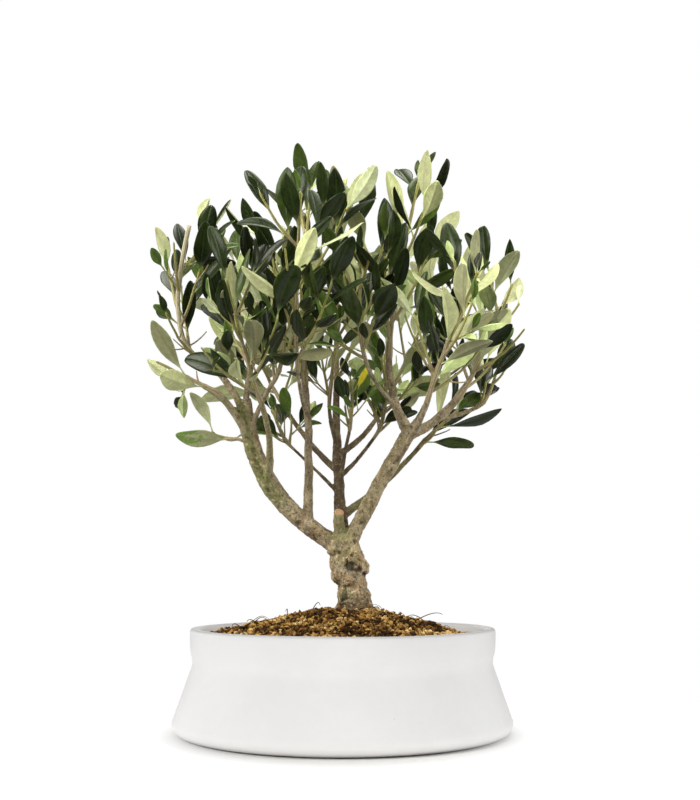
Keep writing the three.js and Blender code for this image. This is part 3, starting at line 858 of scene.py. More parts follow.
class StageLook(bpy.types.PropertyGroup):
    """Camera, light and floor."""

    lens: FloatProperty(name="Lens", description="Focal length", default=50, unit="CAMERA")
    eye: FloatVectorProperty(
        name="Eye", description="Place of the camera", default=(0.0053, -0.8138, 0.117), subtype="XYZ", size=3
    )
    tilt: FloatProperty(name="Tilt", description="How far it looks up", default=0.1466, subtype="ANGLE")
    key: power("Key light", "Power of the light on the left", 4.9)
    side: power("Side light", "Power of the light on the right", 2.8)
    top: power("Top light", "Power of the light above", 3.2)
    crown: power("Crown light", "Power of the light on the leaves", 3.3)
    tent: power("Tent light", "Power of each light round the pot", 5.1)
    warmth: colour("Warmth", "Colour of the lights on the tree", (1.0, 0.975, 0.91))
    ambient: share("Ambient", "Strength of the light from all round", 0.1)
    floor_radius: length("Floor radius", "Radius of the floor", 0.34)
    floor: colour("Floor", "Colour of the floor", (0.52, 0.52, 0.525))


# Shader maths


def operator_pair(operation):
    """A Math operation as an operator of a signal, and its reflected form."""

    def forward(self, other):
        return self.math(operation, self, other)

    def reflected(self, other):
        return self.math(operation, other, self)

    return forward, reflected


class Signal:
    """A socket that takes part in sums: each operator adds its Math node."""

    __add__, __radd__ = operator_pair("ADD")
    __sub__, __rsub__ = operator_pair("SUBTRACT")
    __mul__, __rmul__ = operator_pair("MULTIPLY")
    __pow__, __rpow__ = operator_pair("POWER")

    def __init__(self, finish, socket):
        self.finish = finish
        self.socket = socket

    def math(self, operation, *values):
        return self.finish.node("ShaderNodeMath", {"operation": operation}, dict(enumerate(values)))

    def __abs__(self):
        return self.math("ABSOLUTE", self)

    def sine(self):
        return self.math("SINE", self)

    def rising(self, low, high):
        """0 below low, 1 above high, soft between; low above high makes it fall."""
        settings = {"interpolation_type": "SMOOTHSTEP"}
        values = {"Value": self, "From Min": low, "From Max": high}
        return self.finish.node("ShaderNodeMapRange", settings, values)


class Finish:
    """A material in the making: its nodes, and its shader's sockets."""

    def __init__(self, name, **constants):
        self.material = bpy.data.materials.new(name)
        self.material.use_nodes = True
        self.tree = self.material.node_tree
        self.shader = self.tree.nodes["Principled BSDF"]
        self.place = self.node("ShaderNodeTexCoord", output="Object")
        self.feed(**constants)

    def node(self, kind, settings=None, values=None, output=0):
        """Adds a node: its settings first, then the numbers or links of its sockets."""
        made = self.tree.nodes.new(kind)
        for name, setting in (settings or {}).items():
            setattr(made, name, setting)
        for name, value in (values or {}).items():
            self.plug(made.inputs[name], value)
        return Signal(self, made.outputs[output])

    def plug(self, socket, value):
        if isinstance(value, Signal):
            self.tree.links.new(value.socket, socket)
        elif socket.type == "RGBA":
            socket.default_value = (*value, 1)
        else:
            socket.default_value = value

    def feed(self, **values):
        """Sets or links the shader's sockets: base_color is Base Color, and so on."""
        for name, value in values.items():
            self.plug(self.shader.inputs[name.replace("_", " ").title().replace("Ior", "IOR")], value)

    def blend(self, amount, low, high):
        """The colour that lies an amount of the way from low to high."""
        return self.node("ShaderNodeMix", {"data_type": "RGBA"}, {0: amount, 6: low, 7: high}, 2)

    def layered(self, colour, *layers):
        """A colour with layers laid over it in turn, each an amount and a colour."""
        for amount, layer in layers:
            colour = self.blend(amount, colour, layer)
        return colour

    def mottled(self, pattern, tint, dark, light):
        """A tint that a pattern varies between two shares of itself."""
        return self.blend(pattern.rising(0.3, 0.7), lighter(tint, dark), lighter(tint, light))

    def carried(self, name):
        """A value that the mesh carries at its corners."""
        return self.node("ShaderNodeAttribute", {"attribute_name": name}, output="Fac")

    def on_shape(self):
        """Places from 0 to 1 round or across a twig or leaf, and along it."""
        return self.parts(self.node("ShaderNodeUVMap", {"uv_map": "shape"}))[:2]

    def span(self, vector):
        return self.node("ShaderNodeVectorMath", {"operation": "LENGTH"}, {0: vector}, "Value")

    def squeezed(self, scale):
        """The place, with each axis scaled by its own number."""
        return self.node("ShaderNodeVectorMath", {"operation": "MULTIPLY"}, {0: self.place, 1: scale})

    def clouds(self, size, detail=3.0, roughness=0.55, squeeze=None):
        """Soft noise from 0 to 1 with lumps of a size in metres, or longer where squeezed."""
        place = self.squeezed(squeeze) if squeeze else self.place
        values = {"Vector": place, "Scale": 1 / size, "Detail": detail, "Roughness": roughness}
        return self.node("ShaderNodeTexNoise", None, values)

    def cells(self, size):
        """Distance to the nearest scattered point, as a share of their spacing."""
        return self.node("ShaderNodeTexVoronoi", None, {"Vector": self.place, "Scale": 1 / size})

    def parts(self, vector):
        split = self.node("ShaderNodeSeparateXYZ", None, {0: vector}).socket.node
        return [Signal(self, socket) for socket in split.outputs]

    def bumpy(self, height, distance, strength):
        """The finished material, with bumps as its last touch."""
        values = {"Strength": strength, "Distance": distance, "Height": height}
        self.feed(normal=self.node("ShaderNodeBump", None, values))
        return self.material


# Finishes


def lighter(tint, factor):
    return tuple(min(1, channel * factor) for channel in tint)


def glaze_finish(look):
    """Dull white glaze, thin and grey in places, with pinholes, and darker towards the foot."""
    finish = Finish("glaze", specular_ior_level=0.18)
    broad = finish.clouds(0.05, 2)
    fine = finish.clouds(0.006, 4)
    pinholes = finish.cells(0.009).rising(0.06, 0.03) * finish.clouds(0.02).rising(0.55, 0.62)
    # Darker towards the foot, over its lowest few millimetres
    near_foot = finish.parts(finish.place)[2].rising(0.0035, 0.0005)
    tone = (broad * 0.7 + fine * 0.3).rising(0.36, 0.66)
    glazed = finish.layered(
        finish.blend(tone, look.shade, look.glaze),
        (pinholes * 0.35, lighter(look.shade, 0.55)),
        (near_foot * 0.5, lighter(look.shade, 0.7)),
    )
    finish.feed(base_color=glazed, roughness=look.roughness + fine * 0.16)
    return finish.bumpy(fine * 0.6 + broad - pinholes, 0.0003, 0.35)


def grain_finish(name, tint):
    """One colour of soil grain, mottled and dull."""
    finish = Finish(f"soil_{name}", specular_ior_level=0.15)
    mottle = finish.clouds(0.0016, 4)
    finish.feed(base_color=finish.mottled(mottle, tint, 0.62, 1.28), roughness=0.86 + mottle * 0.12)
    return finish.bumpy(finish.clouds(0.0007, 3), 0.0003, 0.6)


def bark_finish(look):
    """Grey-tan bark, grained and pitted, with the tints that each limb carries; its brown on the shaded inner
    limbs and its near-black pits are partly painted shade.
    """
    finish = Finish("bark")
    brown, moss, old, pit = [finish.carried(name) for name in BARK_TINTS]
    slim = old.rising(1.0, 0.5)
    broad = finish.clouds(0.011, 4)
    grain = finish.clouds(0.0016, 4, 0.7)
    streaks = finish.clouds(0.0019, 4, 0.65, squeeze=(1, 1, 0.3))
    patches = finish.clouds(0.006, 3)
    blotches = finish.clouds(0.0038, 3, 0.6, squeeze=(1, 1, 0.6))
    warmth = finish.clouds(0.0085, 3, squeeze=(1, 1, 0.8)).rising(0.5, 0.62)
    lichen = finish.clouds(0.0052, 3, 0.6, squeeze=(1.1, 1.1, 0.7)).rising(0.56, 0.64)
    flakes = finish.clouds(0.003, 3, 0.6).rising(0.56, 0.7)
    specks = finish.clouds(0.0013, 2, 0.55).rising(0.58, 0.66)
    tone = (broad * 0.5 + grain * 0.28 + streaks * 0.22).rising(0.4, 0.62)
    wood = finish.layered(
        finish.blend(tone, look.tan, look.pale),
        (warmth * old * 0.6, look.warm),
        (lichen * 0.5, look.lichen),
        (slim * 0.4, look.ashen),
        (slim * blotches.rising(0.54, 0.64) * 0.6, lighter(look.tan, 0.45)),
        (slim * blotches.rising(0.46, 0.38) * 0.4, look.lichen),
        # Brown as painted shade on the limbs in shade inside the crown, and as the soil's stain at the
        # trunk's foot
        (brown * patches.rising(0.2, 0.55), look.brown),
        (moss * patches.rising(0.8, 0.42), look.moss),
        (grain.rising(0.46, 0.34) * 0.5, lighter(look.tan, 0.4)),
        (flakes * old * 0.75, lighter(look.pale, 1.25)),
        (specks * (old * 0.5 + 0.4), lighter(look.tan, 0.25)),
        # Painted shade in the sunk pits, scars and knots, over their own darker bark
        (pit * 0.8, look.dark),
    )
    finish.feed(base_color=wood, roughness=0.78 + grain * 0.18)
    return finish.bumpy(grain + broad * 0.5 - specks * 0.6, 0.0007, 0.8)


def cut_finish(look, middle):
    """A pruned face: tan wood with growth rings and a darker rim."""
    finish = Finish("cut_wood")
    offset = finish.node("ShaderNodeVectorMath", {"operation": "SUBTRACT"}, {0: finish.place, 1: middle})
    radius = finish.span(offset)
    wobble = finish.clouds(0.002, 3)
    rings = ((radius * 2600 + wobble * 5).sine() * 0.5 + 0.5) ** 2
    wood = finish.layered(
        look.cut,
        (rings * 0.5, lighter(look.cut, 0.62)),
        (radius.rising(0.0032, 0.0043), lighter(look.tan, 0.5)),
    )
    finish.feed(base_color=wood, roughness=0.7 + wobble * 0.2)
    return finish.bumpy(rings, 0.0002, 0.5)


def twig_finish(name, tint, scar):
    """Thin bark of a twig, streaked along its length, with darker scars."""
    finish = Finish(f"twig_{name}")
    around, along = finish.on_shape()
    streaks = ((around * 37.7 + along * 3).sine() * 0.5 + 0.5) * 0.4 + finish.clouds(0.0012, 4) * 0.6
    spots = finish.cells(0.0022).rising(0.26, 0.14)
    wood = finish.layered(finish.mottled(streaks, tint, 0.72, 1.2), (spots * 0.55, scar))
    finish.feed(base_color=wood, roughness=0.62 + streaks * 0.2)
    return finish.bumpy(streaks - spots, 0.0002, 0.5)


def leaf_veins(finish):
    """Masks of a blade's midrib, side veins, margin and foot."""
    across, along = finish.on_shape()
    from_rib = abs(across * 2 - 1)
    rib = from_rib.rising(0.13, 0.05)
    waves = (along * 9 - from_rib * 1.7) * FULL_TURN
    veins = (waves.sine() * 0.5 + 0.5) ** 7 * from_rib.rising(1, 0.6)
    foot = along.rising(0.3, 0.1)
    return rib, veins, from_rib, foot


def upper_finish(name, tint, look):
    """Glossy upper face: a pale midrib, faint side veins and a waxy bloom."""
    finish = Finish(f"leaf_{name}", specular_ior_level=0.17, coat_weight=0.14, coat_roughness=0.06)
    rib, veins, from_rib, foot = leaf_veins(finish)
    mottle = finish.clouds(0.006, 4)
    pores = finish.clouds(0.0016, 3)
    blade = finish.layered(
        finish.mottled(mottle, tint, 0.7, 1.35),
        (veins * 0.25, lighter(tint, 1.9)),
        (from_rib.rising(0.93, 1.0) * 0.4, lighter(look.fresh, 0.8)),
        (rib * 0.26, lighter(look.fresh, 0.7)),
        (foot * 0.6, lighter(look.lime, 0.5)),
    )
    finish.feed(base_color=blade, roughness=look.gloss + mottle * 0.16)
    return finish.bumpy(mottle * 0.5 + pores * 0.4 - veins * 0.5, 0.0003, 0.55)


def under_finish(name, tint, look, blotches=0.0):
    """Dull under face: felted and stained, with a raised midrib and a yellow margin."""
    finish = Finish(f"leaf_{name}", specular_ior_level=0.3)
    rib, veins, from_rib, foot = leaf_veins(finish)
    mottle = finish.clouds(0.005, 4)
    felt = finish.clouds(0.0006, 2)
    stains = finish.clouds(0.011, 3, 0.6).rising(0.52, 0.72)
    blade = finish.mottled(mottle, tint, 0.84, 1.12)
    if blotches:
        spots = (mottle + finish.on_shape()[1] * 0.3).rising(0.66, 0.72)
        blade = finish.blend(spots * blotches, blade, look.blotch)
    blade = finish.layered(
        blade,
        (stains * 0.24, look.rust),
        (veins * 0.42, lighter(tint, 0.74)),
        (rib * 0.5, lighter(tint, 0.74)),
        (from_rib.rising(0.84, 0.98) * 0.4, look.lime),
        (foot * 0.65, lighter(look.lime, 0.85)),
    )
    finish.feed(base_color=blade, roughness=look.felt + felt * 0.16)
    return finish.bumpy(veins + felt * 0.2, 0.0002, 0.2)


def floor_finish(look):
    """Pale floor that shows the pot's shadow and lightens away from it."""
    finish = Finish("floor", roughness=0.9, emission_strength=1.0)
    away = finish.span(finish.squeezed((1.15, 1, 1))).rising(0.118, 0.154)
    finish.feed(base_color=finish.blend(away, look.floor, (0, 0, 0)))
    finish.feed(emission_color=finish.blend(away, (0, 0, 0), (1, 1, 1)))
    return finish.material


# Mesh making

# Share of a slot's tile on the baking map that is left free along each edge
TILE_MARGIN = 0.04


class Sheaf:
    """Many small shapes gathered into one mesh, with slots and two maps."""

    def __init__(self, slots):
        self.slots = slots
        self.tiles = math.ceil(math.sqrt(len(slots)))
        self.corners = []
        self.faces = []
        self.face_slots = []
        self.maps = []
        self.count = 0

    def add(self, corners, faces, slots, corner_map):
        """Corners (n, 3) in metres, faces (m, k), one slot or m, and a map (m, k, 2)."""
        self.corners.append(corners)
        self.faces.append(faces + self.count)
        self.face_slots.append(np.broadcast_to(slots, len(faces)))
        self.maps.append(corner_map)
        self.count += len(corners)

    def to_piece(self, name, materials, smooth=True):
        mesh = bpy.data.meshes.new(name)
        faces = np.concatenate(self.faces)
        slots = np.concatenate(self.face_slots)
        maps = np.concatenate(self.maps)
        wide = faces.shape[1]
        mesh.vertices.add(self.count)
        mesh.vertices.foreach_set("co", np.concatenate(self.corners).astype(np.float32).ravel())
        mesh.loops.add(faces.size)
        mesh.loops.foreach_set("vertex_index", faces.astype(np.int32).ravel())
        mesh.polygons.add(len(faces))
        mesh.polygons.foreach_set("loop_start", np.arange(0, faces.size, wide, dtype=np.int32))
        mesh.polygons.foreach_set("material_index", slots.astype(np.int32))
        mesh.polygons.foreach_set("use_smooth", np.full(len(faces), smooth))
        write_map(mesh, "shape", maps)
        write_map(mesh, "OFBake", self.tiled(maps, slots))
        mesh.update(calc_edges=True)
        mesh.validate()
        for slot in self.slots:
            mesh.materials.append(materials[slot])
        return add_piece(name, mesh)

    def tiled(self, maps, slots):
        """The map with each slot in a tile of its own."""
        corner = np.stack([slots % self.tiles, slots // self.tiles], axis=1)[:, None, :]
        return (corner + TILE_MARGIN + maps * (1 - 2 * TILE_MARGIN)) / self.tiles


def write_map(mesh, name, values):
    layer = mesh.uv_layers.new(name=name)
    layer.uv.foreach_set("vector", values.astype(np.float32).ravel())


def add_piece(name, mesh):
    piece = bpy.data.objects.new(name, mesh)
    bpy.context.scene.collection.objects.link(piece)
    return piece


def seat(piece, slot, *nodes):
    """Sets a piece on the part's one body, in place of the solids that it dresses."""
    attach(piece, BODY)
    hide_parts(*nodes)


def angles_round(sides):
    return np.linspace(0, FULL_TURN, sides, endpoint=False)


def grid_faces(rows, columns, closed=True):
    """Faces of a grid of corners; a closed one joins its last column to its first."""
    wide = columns if closed else columns - 1
    row, column = np.meshgrid(np.arange(rows - 1), np.arange(wide), indexing="ij")
    start = (row * columns + column).ravel()
    beside = (row * columns + (column + 1) % columns).ravel()
    return np.stack([start, beside, beside + columns, start + columns], axis=1)


def grid_map(rows, columns):
    """Places from 0 to 1 round and along a closed grid, for each corner of its faces."""
    row, column = np.meshgrid(np.arange(rows - 1), np.arange(columns), indexing="ij")
    row, column = row.ravel(), column.ravel()
    across = np.stack([column, column + 1, column + 1, column], axis=1) / columns
    along = np.stack([row, row, row + 1, row + 1], axis=1) / (rows - 1)
    return np.stack([across, along], axis=2)


# Where the seam of every tube starts
TUBE_SEAM = np.array([0.9, 0.1, 0.05])


def tube(points, radii, sides):
    """Corners of a tube round a line of points, ring by ring."""
    points = np.asarray(points, dtype=float)
    tangents = np.gradient(points, axis=0)
    tangents /= np.linalg.norm(tangents, axis=1, keepdims=True)
    angles = angles_round(sides)
    across = TUBE_SEAM
    rings = []
    for point, tangent, radius in zip(points, tangents, radii):
        across = across - tangent * across.dot(tangent)
        across /= np.linalg.norm(across)
        aside = np.cross(tangent, across)
        ring = np.outer(np.cos(angles), across) + np.outer(np.sin(angles), aside)
        rings.append(point + ring * np.reshape(radius, (-1, 1)))
    return np.concatenate(rings)


# Pot and soil

POT_SIDES = 144
# Radius at which the turned outline starts and ends by the axis
POT_AXIS_GAP = 0.002
# Height up to which the pot is true
POT_STEADY = 0.004
# Pitch and level of the noise by which the wall and the rim stray
WALL_STRAY = (1.6, 3.7)
RIM_LEAN = (1.1, 9.2)


def arc(start, control, end, steps):
    """Points along a curve from start towards control to end, without its first point."""
    curve = Bow((*start, 0), (*control, 0), (*end, 0))
    return [tuple(curve.point(step / steps))[:2] for step in range(1, steps + 1)]


def line(start, end, steps):
    """Points along a straight stretch, without its first point."""
    return [tuple(mix(a, b, step / steps) for a, b in zip(start, end)) for step in range(1, steps + 1)]


def pot_outline(look):
    """The pot's outline from under its middle, up the outside and down to its floor."""
    inner = look.rim_radius - look.wall
    shoulder = look.crease_radius + look.crease_depth
    collar = look.crease_height + look.crease_half
    rim = look.height - look.rim_round
    skirt = (look.skirt_radius, look.skirt_height)
    waist = (shoulder, look.crease_height - look.crease_half)
    lip = (look.rim_radius - look.rim_round, look.height)
    points = [(POT_AXIS_GAP, 0)]
    points += line(points[-1], (look.foot_radius, 0), 8)
    points += arc(points[-1], (look.skirt_radius, look.foot_lift), skirt, 8)
    points += line(points[-1], waist, 14)
    points += arc(points[-1], (look.crease_radius, look.crease_height), (shoulder, collar), 8)
    points += arc(points[-1], (look.rim_radius, collar + look.crease_half), (look.rim_radius, rim), 8)
    points += arc(points[-1], (look.rim_radius, look.height), lip, 6)
    points += line(points[-1], (inner + look.rim_round, look.height), 2)
    points += arc(points[-1], (inner, look.height), (inner, rim), 6)
    points += line(points[-1], (inner, look.floor), 6)
    points += line(points[-1], (POT_AXIS_GAP, look.floor), 4)
    return points


def wander(angles, pitch, level):
    """Soft noise round a ring, with no step where the ring closes."""
    return np.array([noise.noise((math.cos(a) * pitch, math.sin(a) * pitch, level)) for a in angles])


def make_pot(look):
    """A hand-thrown pot: the outline turned round, a little out of true."""
    outline = np.array(pot_outline(look))
    angles = angles_round(POT_SIDES)
    radius, height = outline[:, :1], outline[:, 1:]
    x, y = radius * np.cos(angles), radius * np.sin(angles)
    z = np.broadcast_to(height, x.shape)
    climb = smooth_step(POT_STEADY, look.height, z)
    swell = 1 + climb * look.unevenness * wander(angles, *WALL_STRAY) / look.rim_radius
    lift = climb * look.unevenness * wander(angles, *RIM_LEAN)
    corners = np.stack([x * swell, y * swell, z + lift], axis=2)
    grid = (len(outline), POT_SIDES)
    sheaf = Sheaf(["glaze"])
    sheaf.add(corners.reshape(-1, 3), grid_faces(*grid), 0, grid_map(*grid))
    seat(sheaf.to_piece("pot_glazed", {"glaze": glaze_finish(look)}), "pot", "pot")


def soil_height(look, x, y):
    """Height of the soil: a slope from the wall up to the trunk, with gentle lumps."""
    edge = SOIL_HIGH[0]
    share_in = np.clip((edge - np.hypot(x, y)) / (edge - look.top_radius), 0, 1)
    top = GROUND * MM - look.settled - look.slump * np.clip(-x / look.top_radius, 0, 1)
    slope = mix(look.edge_height, top, share_in)
    waves = np.sin(math.pi * x / look.lump_pitch) * np.cos(math.pi * y / look.lump_pitch)
    lean = look.lean * (1 - share_in) * x / edge
    return slope + look.lump * np.sin(math.pi * share_in) * waves - lean


BED_RINGS, BED_SIDES = 60, 120
BED_AXIS_GAP = 0.0005
BED_DEPTH = 0.0016
BED_LUMP = 0.0009
BED_LUMPS_PER_METRE = 260
GRAIN_TINTS = ("dark", "brown", "ochre", "pale")
GRAIN_SHARES = (0.2, 0.36, 0.31, 0.13)
GRAIN_PIECES = 2
GRAIN_SEED = 8
# A grain's sizes as shares of its length, how lumpy it is, and how it lies in the soil's surface
GRAIN_LENGTH = 1.15
GRAIN_WIDTHS = (0.7, 1.1)
GRAIN_HEIGHTS = (0.55, 0.9)
GRAIN_LUMP = 0.24
GRAIN_LUMP_MOST = 1.4
GRAIN_MOST_TURN = 6.3
GRAIN_SINK = (-0.35, 0.16)
GRAIN_OFF_WALL = 0.6
# Patches of damp and dry grains: their size, how strongly they differ, and how damp the whole is
GRAIN_PATCH = 0.019
PATCH_CONTRAST = 0.65
PATCH_DAMP = 0.05
LAST_GRAIN_TINT = 0.999
# Rootlets that lie on the soil, in metres
ROOTLETS = 46
ROOTLET_SEED = 21
ROOTLET_STEPS, ROOTLET_SIDES = 14, 5
ROOTLET_SPREAD = 0.092
ROOTLET_LIMIT = 0.097
ROOTLET_BENDS = (-70, 70)
ROOTLET_REACHES = (0.008, 0.026)
ROOTLET_ARCHES = (0.0005, 0.004)
ROOTLET_LIFT = 0.0006
ROOTLET_GIRTHS = (0.00018, 0.0004)
ROOTLET_TIP_SHARE = 0.45
# Rootlets that stand up out of the soil: place, heading in degrees, length and height
STANDING_ROOTLETS = (
    (-0.040, -0.012, 70, 0.009, 0.0060),
    (-0.024, -0.016, 25, 0.013, 0.0075),
    (0.048, -0.014, 8, 0.030, 0.0045),
    (0.062, 0.004, 160, 0.017, 0.0050),
    (-0.058, -0.006, 200, 0.014, 0.0035),
)
STANDING_GIRTH = 0.0004
STANDING_TIP_SHARE = 0.5
STANDING_BEND = 0.9
STANDING_ARCH = 2.3
STANDING_SINK = 0.001


def ball(levels):
    """Corners and faces of a round grain: an icosahedron with its faces split."""
    golden = (1 + math.sqrt(5)) / 2
    corners = [Vector(p).normalized() for p in (
        (-1, golden, 0), (1, golden, 0), (-1, -golden, 0), (1, -golden, 0),
        (0, -1, golden), (0, 1, golden), (0, -1, -golden), (0, 1, -golden),
        (golden, 0, -1), (golden, 0, 1), (-golden, 0, -1), (-golden, 0, 1),
    )]
    edge = min((corners[0] - corner).length for corner in corners[1:]) * 1.1
    near = [[j for j, b in enumerate(corners) if 0 < (a - b).length < edge] for a in corners]
    faces = [
        (i, j, k)
        for i, beside in enumerate(near)
        for j in beside
        for k in beside
        if i < min(j, k) and k in near[j] and looks_out(corners[i], corners[j], corners[k])
    ]
    for _ in range(levels):
        faces = split_faces(corners, faces)
    return np.array(corners), np.array(faces)


def looks_out(a, b, c):
    """True if a face of a ball, by its corners in turn, looks outwards."""
    return (b - a).cross(c - a).dot(a) > 0


def split_faces(corners, faces):
    """Splits each face of a ball into four, adding the new corners."""
    halves = {}

    def half(a, b):
        key = (min(a, b), max(a, b))
        if key not in halves:
            corners.append((corners[a] + corners[b]).normalized())
            halves[key] = len(corners) - 1
        return halves[key]

    finer = []
    for a, b, c in faces:
        ab, bc, ca = half(a, b), half(b, c), half(c, a)
        finer += [(a, ab, ca), (b, bc, ab), (c, ca, bc), (ab, bc, ca)]
    return finer


def make_soil(look):
    """A dark bed, loose grains of four colours on it, and a few rootlets."""
    materials = {tint: grain_finish(tint, getattr(look, tint)) for tint in GRAIN_TINTS}
    bed = soil_bed(look, materials)
    grains = soil_grains(look, materials)
    for piece in (bed, *grains, soil_rootlets(look, materials)):
        seat(piece, "soil", "soil")


def soil_bed(look, materials):
    """The dark bed that shows between the grains: the damp soil's colour, and painted shade in the gaps."""
    edge = SOIL_HIGH[0] - CLEARANCE * MM
    radius = np.linspace(BED_AXIS_GAP, edge, BED_RINGS)[:, None]
    angles = angles_round(BED_SIDES)
    x, y = radius * np.cos(angles), radius * np.sin(angles)
    spots = zip(x.ravel() * BED_LUMPS_PER_METRE, y.ravel() * BED_LUMPS_PER_METRE)
    lumps = np.array([noise.noise((a, b, 0)) for a, b in spots])
    z = soil_height(look, x, y) - BED_DEPTH + BED_LUMP * lumps.reshape(x.shape)
    faces = grid_faces(BED_RINGS, BED_SIDES)[:, ::-1]
    places = np.stack([x, y], axis=2).reshape(-1, 2)[faces] / (2 * edge) + 0.5
    sheaf = Sheaf(["dark"])
    sheaf.add(np.stack([x, y, z], axis=2).reshape(-1, 3), faces, 0, places)
    return sheaf.to_piece("soil_bed", materials)


def soil_grains(look, materials):
    """Loose grains, crowded as they fell, dealt out to two pieces."""
    random = np.random.default_rng(GRAIN_SEED)
    shape, faces = ball(0)
    face_map = np.broadcast_to(np.array([(0, 0), (1, 0), (0.5, 1)]), (len(faces), 3, 2))
    sheaves = [Sheaf(list(GRAIN_TINTS)) for _ in range(GRAIN_PIECES)]
    for i in range(look.grain_count):
        size = mix(look.grain_small, look.grain_large, random.random() ** 3)
        radius = (SOIL_HIGH[0] - size * GRAIN_OFF_WALL) * math.sqrt(random.random())
        angle = random.random() * FULL_TURN
        at = np.array([radius * math.cos(angle), radius * math.sin(angle), 0])
        at[2] = soil_height(look, at[0], at[1]) + size * random.uniform(*GRAIN_SINK)
        grain = grain_corners(shape, size, random) + at
        damp = noise.noise(Vector(at) / GRAIN_PATCH) * PATCH_CONTRAST - PATCH_DAMP
        chance = np.clip(random.random() + damp, 0, LAST_GRAIN_TINT)
        tint = int(np.searchsorted(np.cumsum(GRAIN_SHARES), chance))
        sheaves[i % GRAIN_PIECES].add(grain, faces, tint, face_map)
    numbered = enumerate(sheaves, start=1)
    return [sheaf.to_piece(f"soil_grains_{i}", materials, smooth=False) for i, sheaf in numbered]


def grain_corners(shape, size, random):
    """Corners of one lumpy grain, turned as it fell."""
    lumps = random.standard_normal((len(shape), 1)).clip(-GRAIN_LUMP_MOST, GRAIN_LUMP_MOST)
    sizes = np.array([GRAIN_LENGTH, random.uniform(*GRAIN_WIDTHS), random.uniform(*GRAIN_HEIGHTS)])
    angle = random.random() * GRAIN_MOST_TURN
    turn = np.array(Matrix.Rotation(angle, 3, Vector(random.standard_normal(3))))
    return (shape * (1 + GRAIN_LUMP * lumps) * (size / 2 * sizes)) @ turn.T


def soil_rootlets(look, materials):
    """Thin rootlets: most lie on the soil, and a few stand up out of it."""
    random = np.random.default_rng(ROOTLET_SEED)
    rootlets = [(lying_rootlet(look, random), i % 2) for i in range(ROOTLETS)]
    rootlets += [(standing_rootlet(look, *standing), 0) for standing in STANDING_ROOTLETS]
    sheaf = Sheaf(["dark", "brown"])
    grid = (ROOTLET_STEPS, ROOTLET_SIDES)
    for rootlet, tint in rootlets:
        sheaf.add(tube(*rootlet, ROOTLET_SIDES), grid_faces(*grid), tint, grid_map(*grid))
    return sheaf.to_piece("soil_rootlets", materials)


def rootlet_way(start_x, start_y, headings, reach):
    """X and Y along a rootlet that follows its headings from a place."""
    x = start_x + np.cumsum(np.cos(headings)) * reach / ROOTLET_STEPS
    y = start_y + np.cumsum(np.sin(headings)) * reach / ROOTLET_STEPS
    return x, y


def lying_rootlet(look, random):
    """Points and radii of a rootlet that lies anywhere on the soil."""
    radius = ROOTLET_SPREAD * math.sqrt(random.random())
    angle = random.random() * FULL_TURN
    heading = random.random() * FULL_TURN
    bend = random.uniform(*ROOTLET_BENDS)
    reach = random.uniform(*ROOTLET_REACHES)
    headings = heading + bend * np.linspace(0, reach, ROOTLET_STEPS)
    x, y = rootlet_way(radius * math.cos(angle), radius * math.sin(angle), headings, reach)
    inside = np.minimum(1, ROOTLET_LIMIT / np.maximum(np.hypot(x, y), 1e-6))
    x, y = x * inside, y * inside
    arch = np.sin(np.linspace(0, math.pi, ROOTLET_STEPS)) * random.uniform(*ROOTLET_ARCHES)
    z = soil_height(look, x, y) + ROOTLET_LIFT + arch
    girth = random.uniform(*ROOTLET_GIRTHS) * np.linspace(1, ROOTLET_TIP_SHARE, ROOTLET_STEPS)
    return np.stack([x, y, z], axis=1), girth


def standing_rootlet(look, start_x, start_y, degrees, reach, height):
    """Points and radii of a rootlet that rises out of the soil and bends over."""
    along = np.linspace(0, 1, ROOTLET_STEPS)
    x, y = rootlet_way(start_x, start_y, math.radians(degrees) + STANDING_BEND * along, reach)
    foot = soil_height(look, start_x, start_y) - STANDING_SINK
    z = foot + (height + STANDING_SINK) * np.sin(along * STANDING_ARCH)
    girth = STANDING_GIRTH * np.linspace(1, STANDING_TIP_SHARE, ROOTLET_STEPS)
    return np.stack([x, y, z], axis=1), girth


# Wood

# brown carries painted shade on the shaded limbs and the soil's stain; pit carries the sunk depth that the
# colour darkens as painted shade
BARK_TINTS = ("brown", "moss", "old", "pit")
TINT_PASSES = 6
LIMB_SIDES = 20
LIMB_SPACING = 2.2
BOUGH_SLIM = 0.84
# How far a limb's middle strays: the pitch, the most, and the share of its girth
STRAY_PITCH = 17
STRAY_MOST = 1.1
STRAY_SHARE = 0.25
# Swellings along a limb, and the collar where a bough leaves its parent
SWELL = 0.12
SWELL_PITCH = 8
COLLAR = 0.2
COLLAR_REACH = 9
# Softness of the crotches where limbs meet
SKIN_SMOOTHING = 0.5
SKIN_PASSES = 5
# Pruned limbs: how the cut slants, how far it stands proud, and its disc
CUT_LIMBS = ("cut_stub",)
CUT_LEAN = Vector((0.1, -0.85, 0))
CUT_PROUD = 0.5
CUT_WIDTH = 1.08
CUT_SKIRT = 1.4
CUT_WAVE = 0.06
CUT_RINGS, CUT_SIDES = 8, 28
# A bough that shows as two stems side by side: where they part, how far apart they run and their girth
TWIN_LIMBS = ("left",)
TWIN_PARTING = (0.2, 0.5)
TWIN_APART = 0.5
TWIN_GIRTH = 0.68
DEPTH = Vector((0, 1, 0))
# Painted shade, over the limbs' own browner bark: how brown each limb is drawn that lies in shade inside the
# crown; the others are tan
SHADE_BROWN_LIMBS = {
    "centre": 0.9, "cut_stub": 0.3, "centre_left": 0.3, "low_left": 0.85, "low_right": 0.75,
    "low_centre": 0.85, "centre_spur": 0.8, "centre_right": 0.85, "back_left": 0.8, "back_right": 0.8,
    "left": 0.4, "left_inner": 0.5,
}
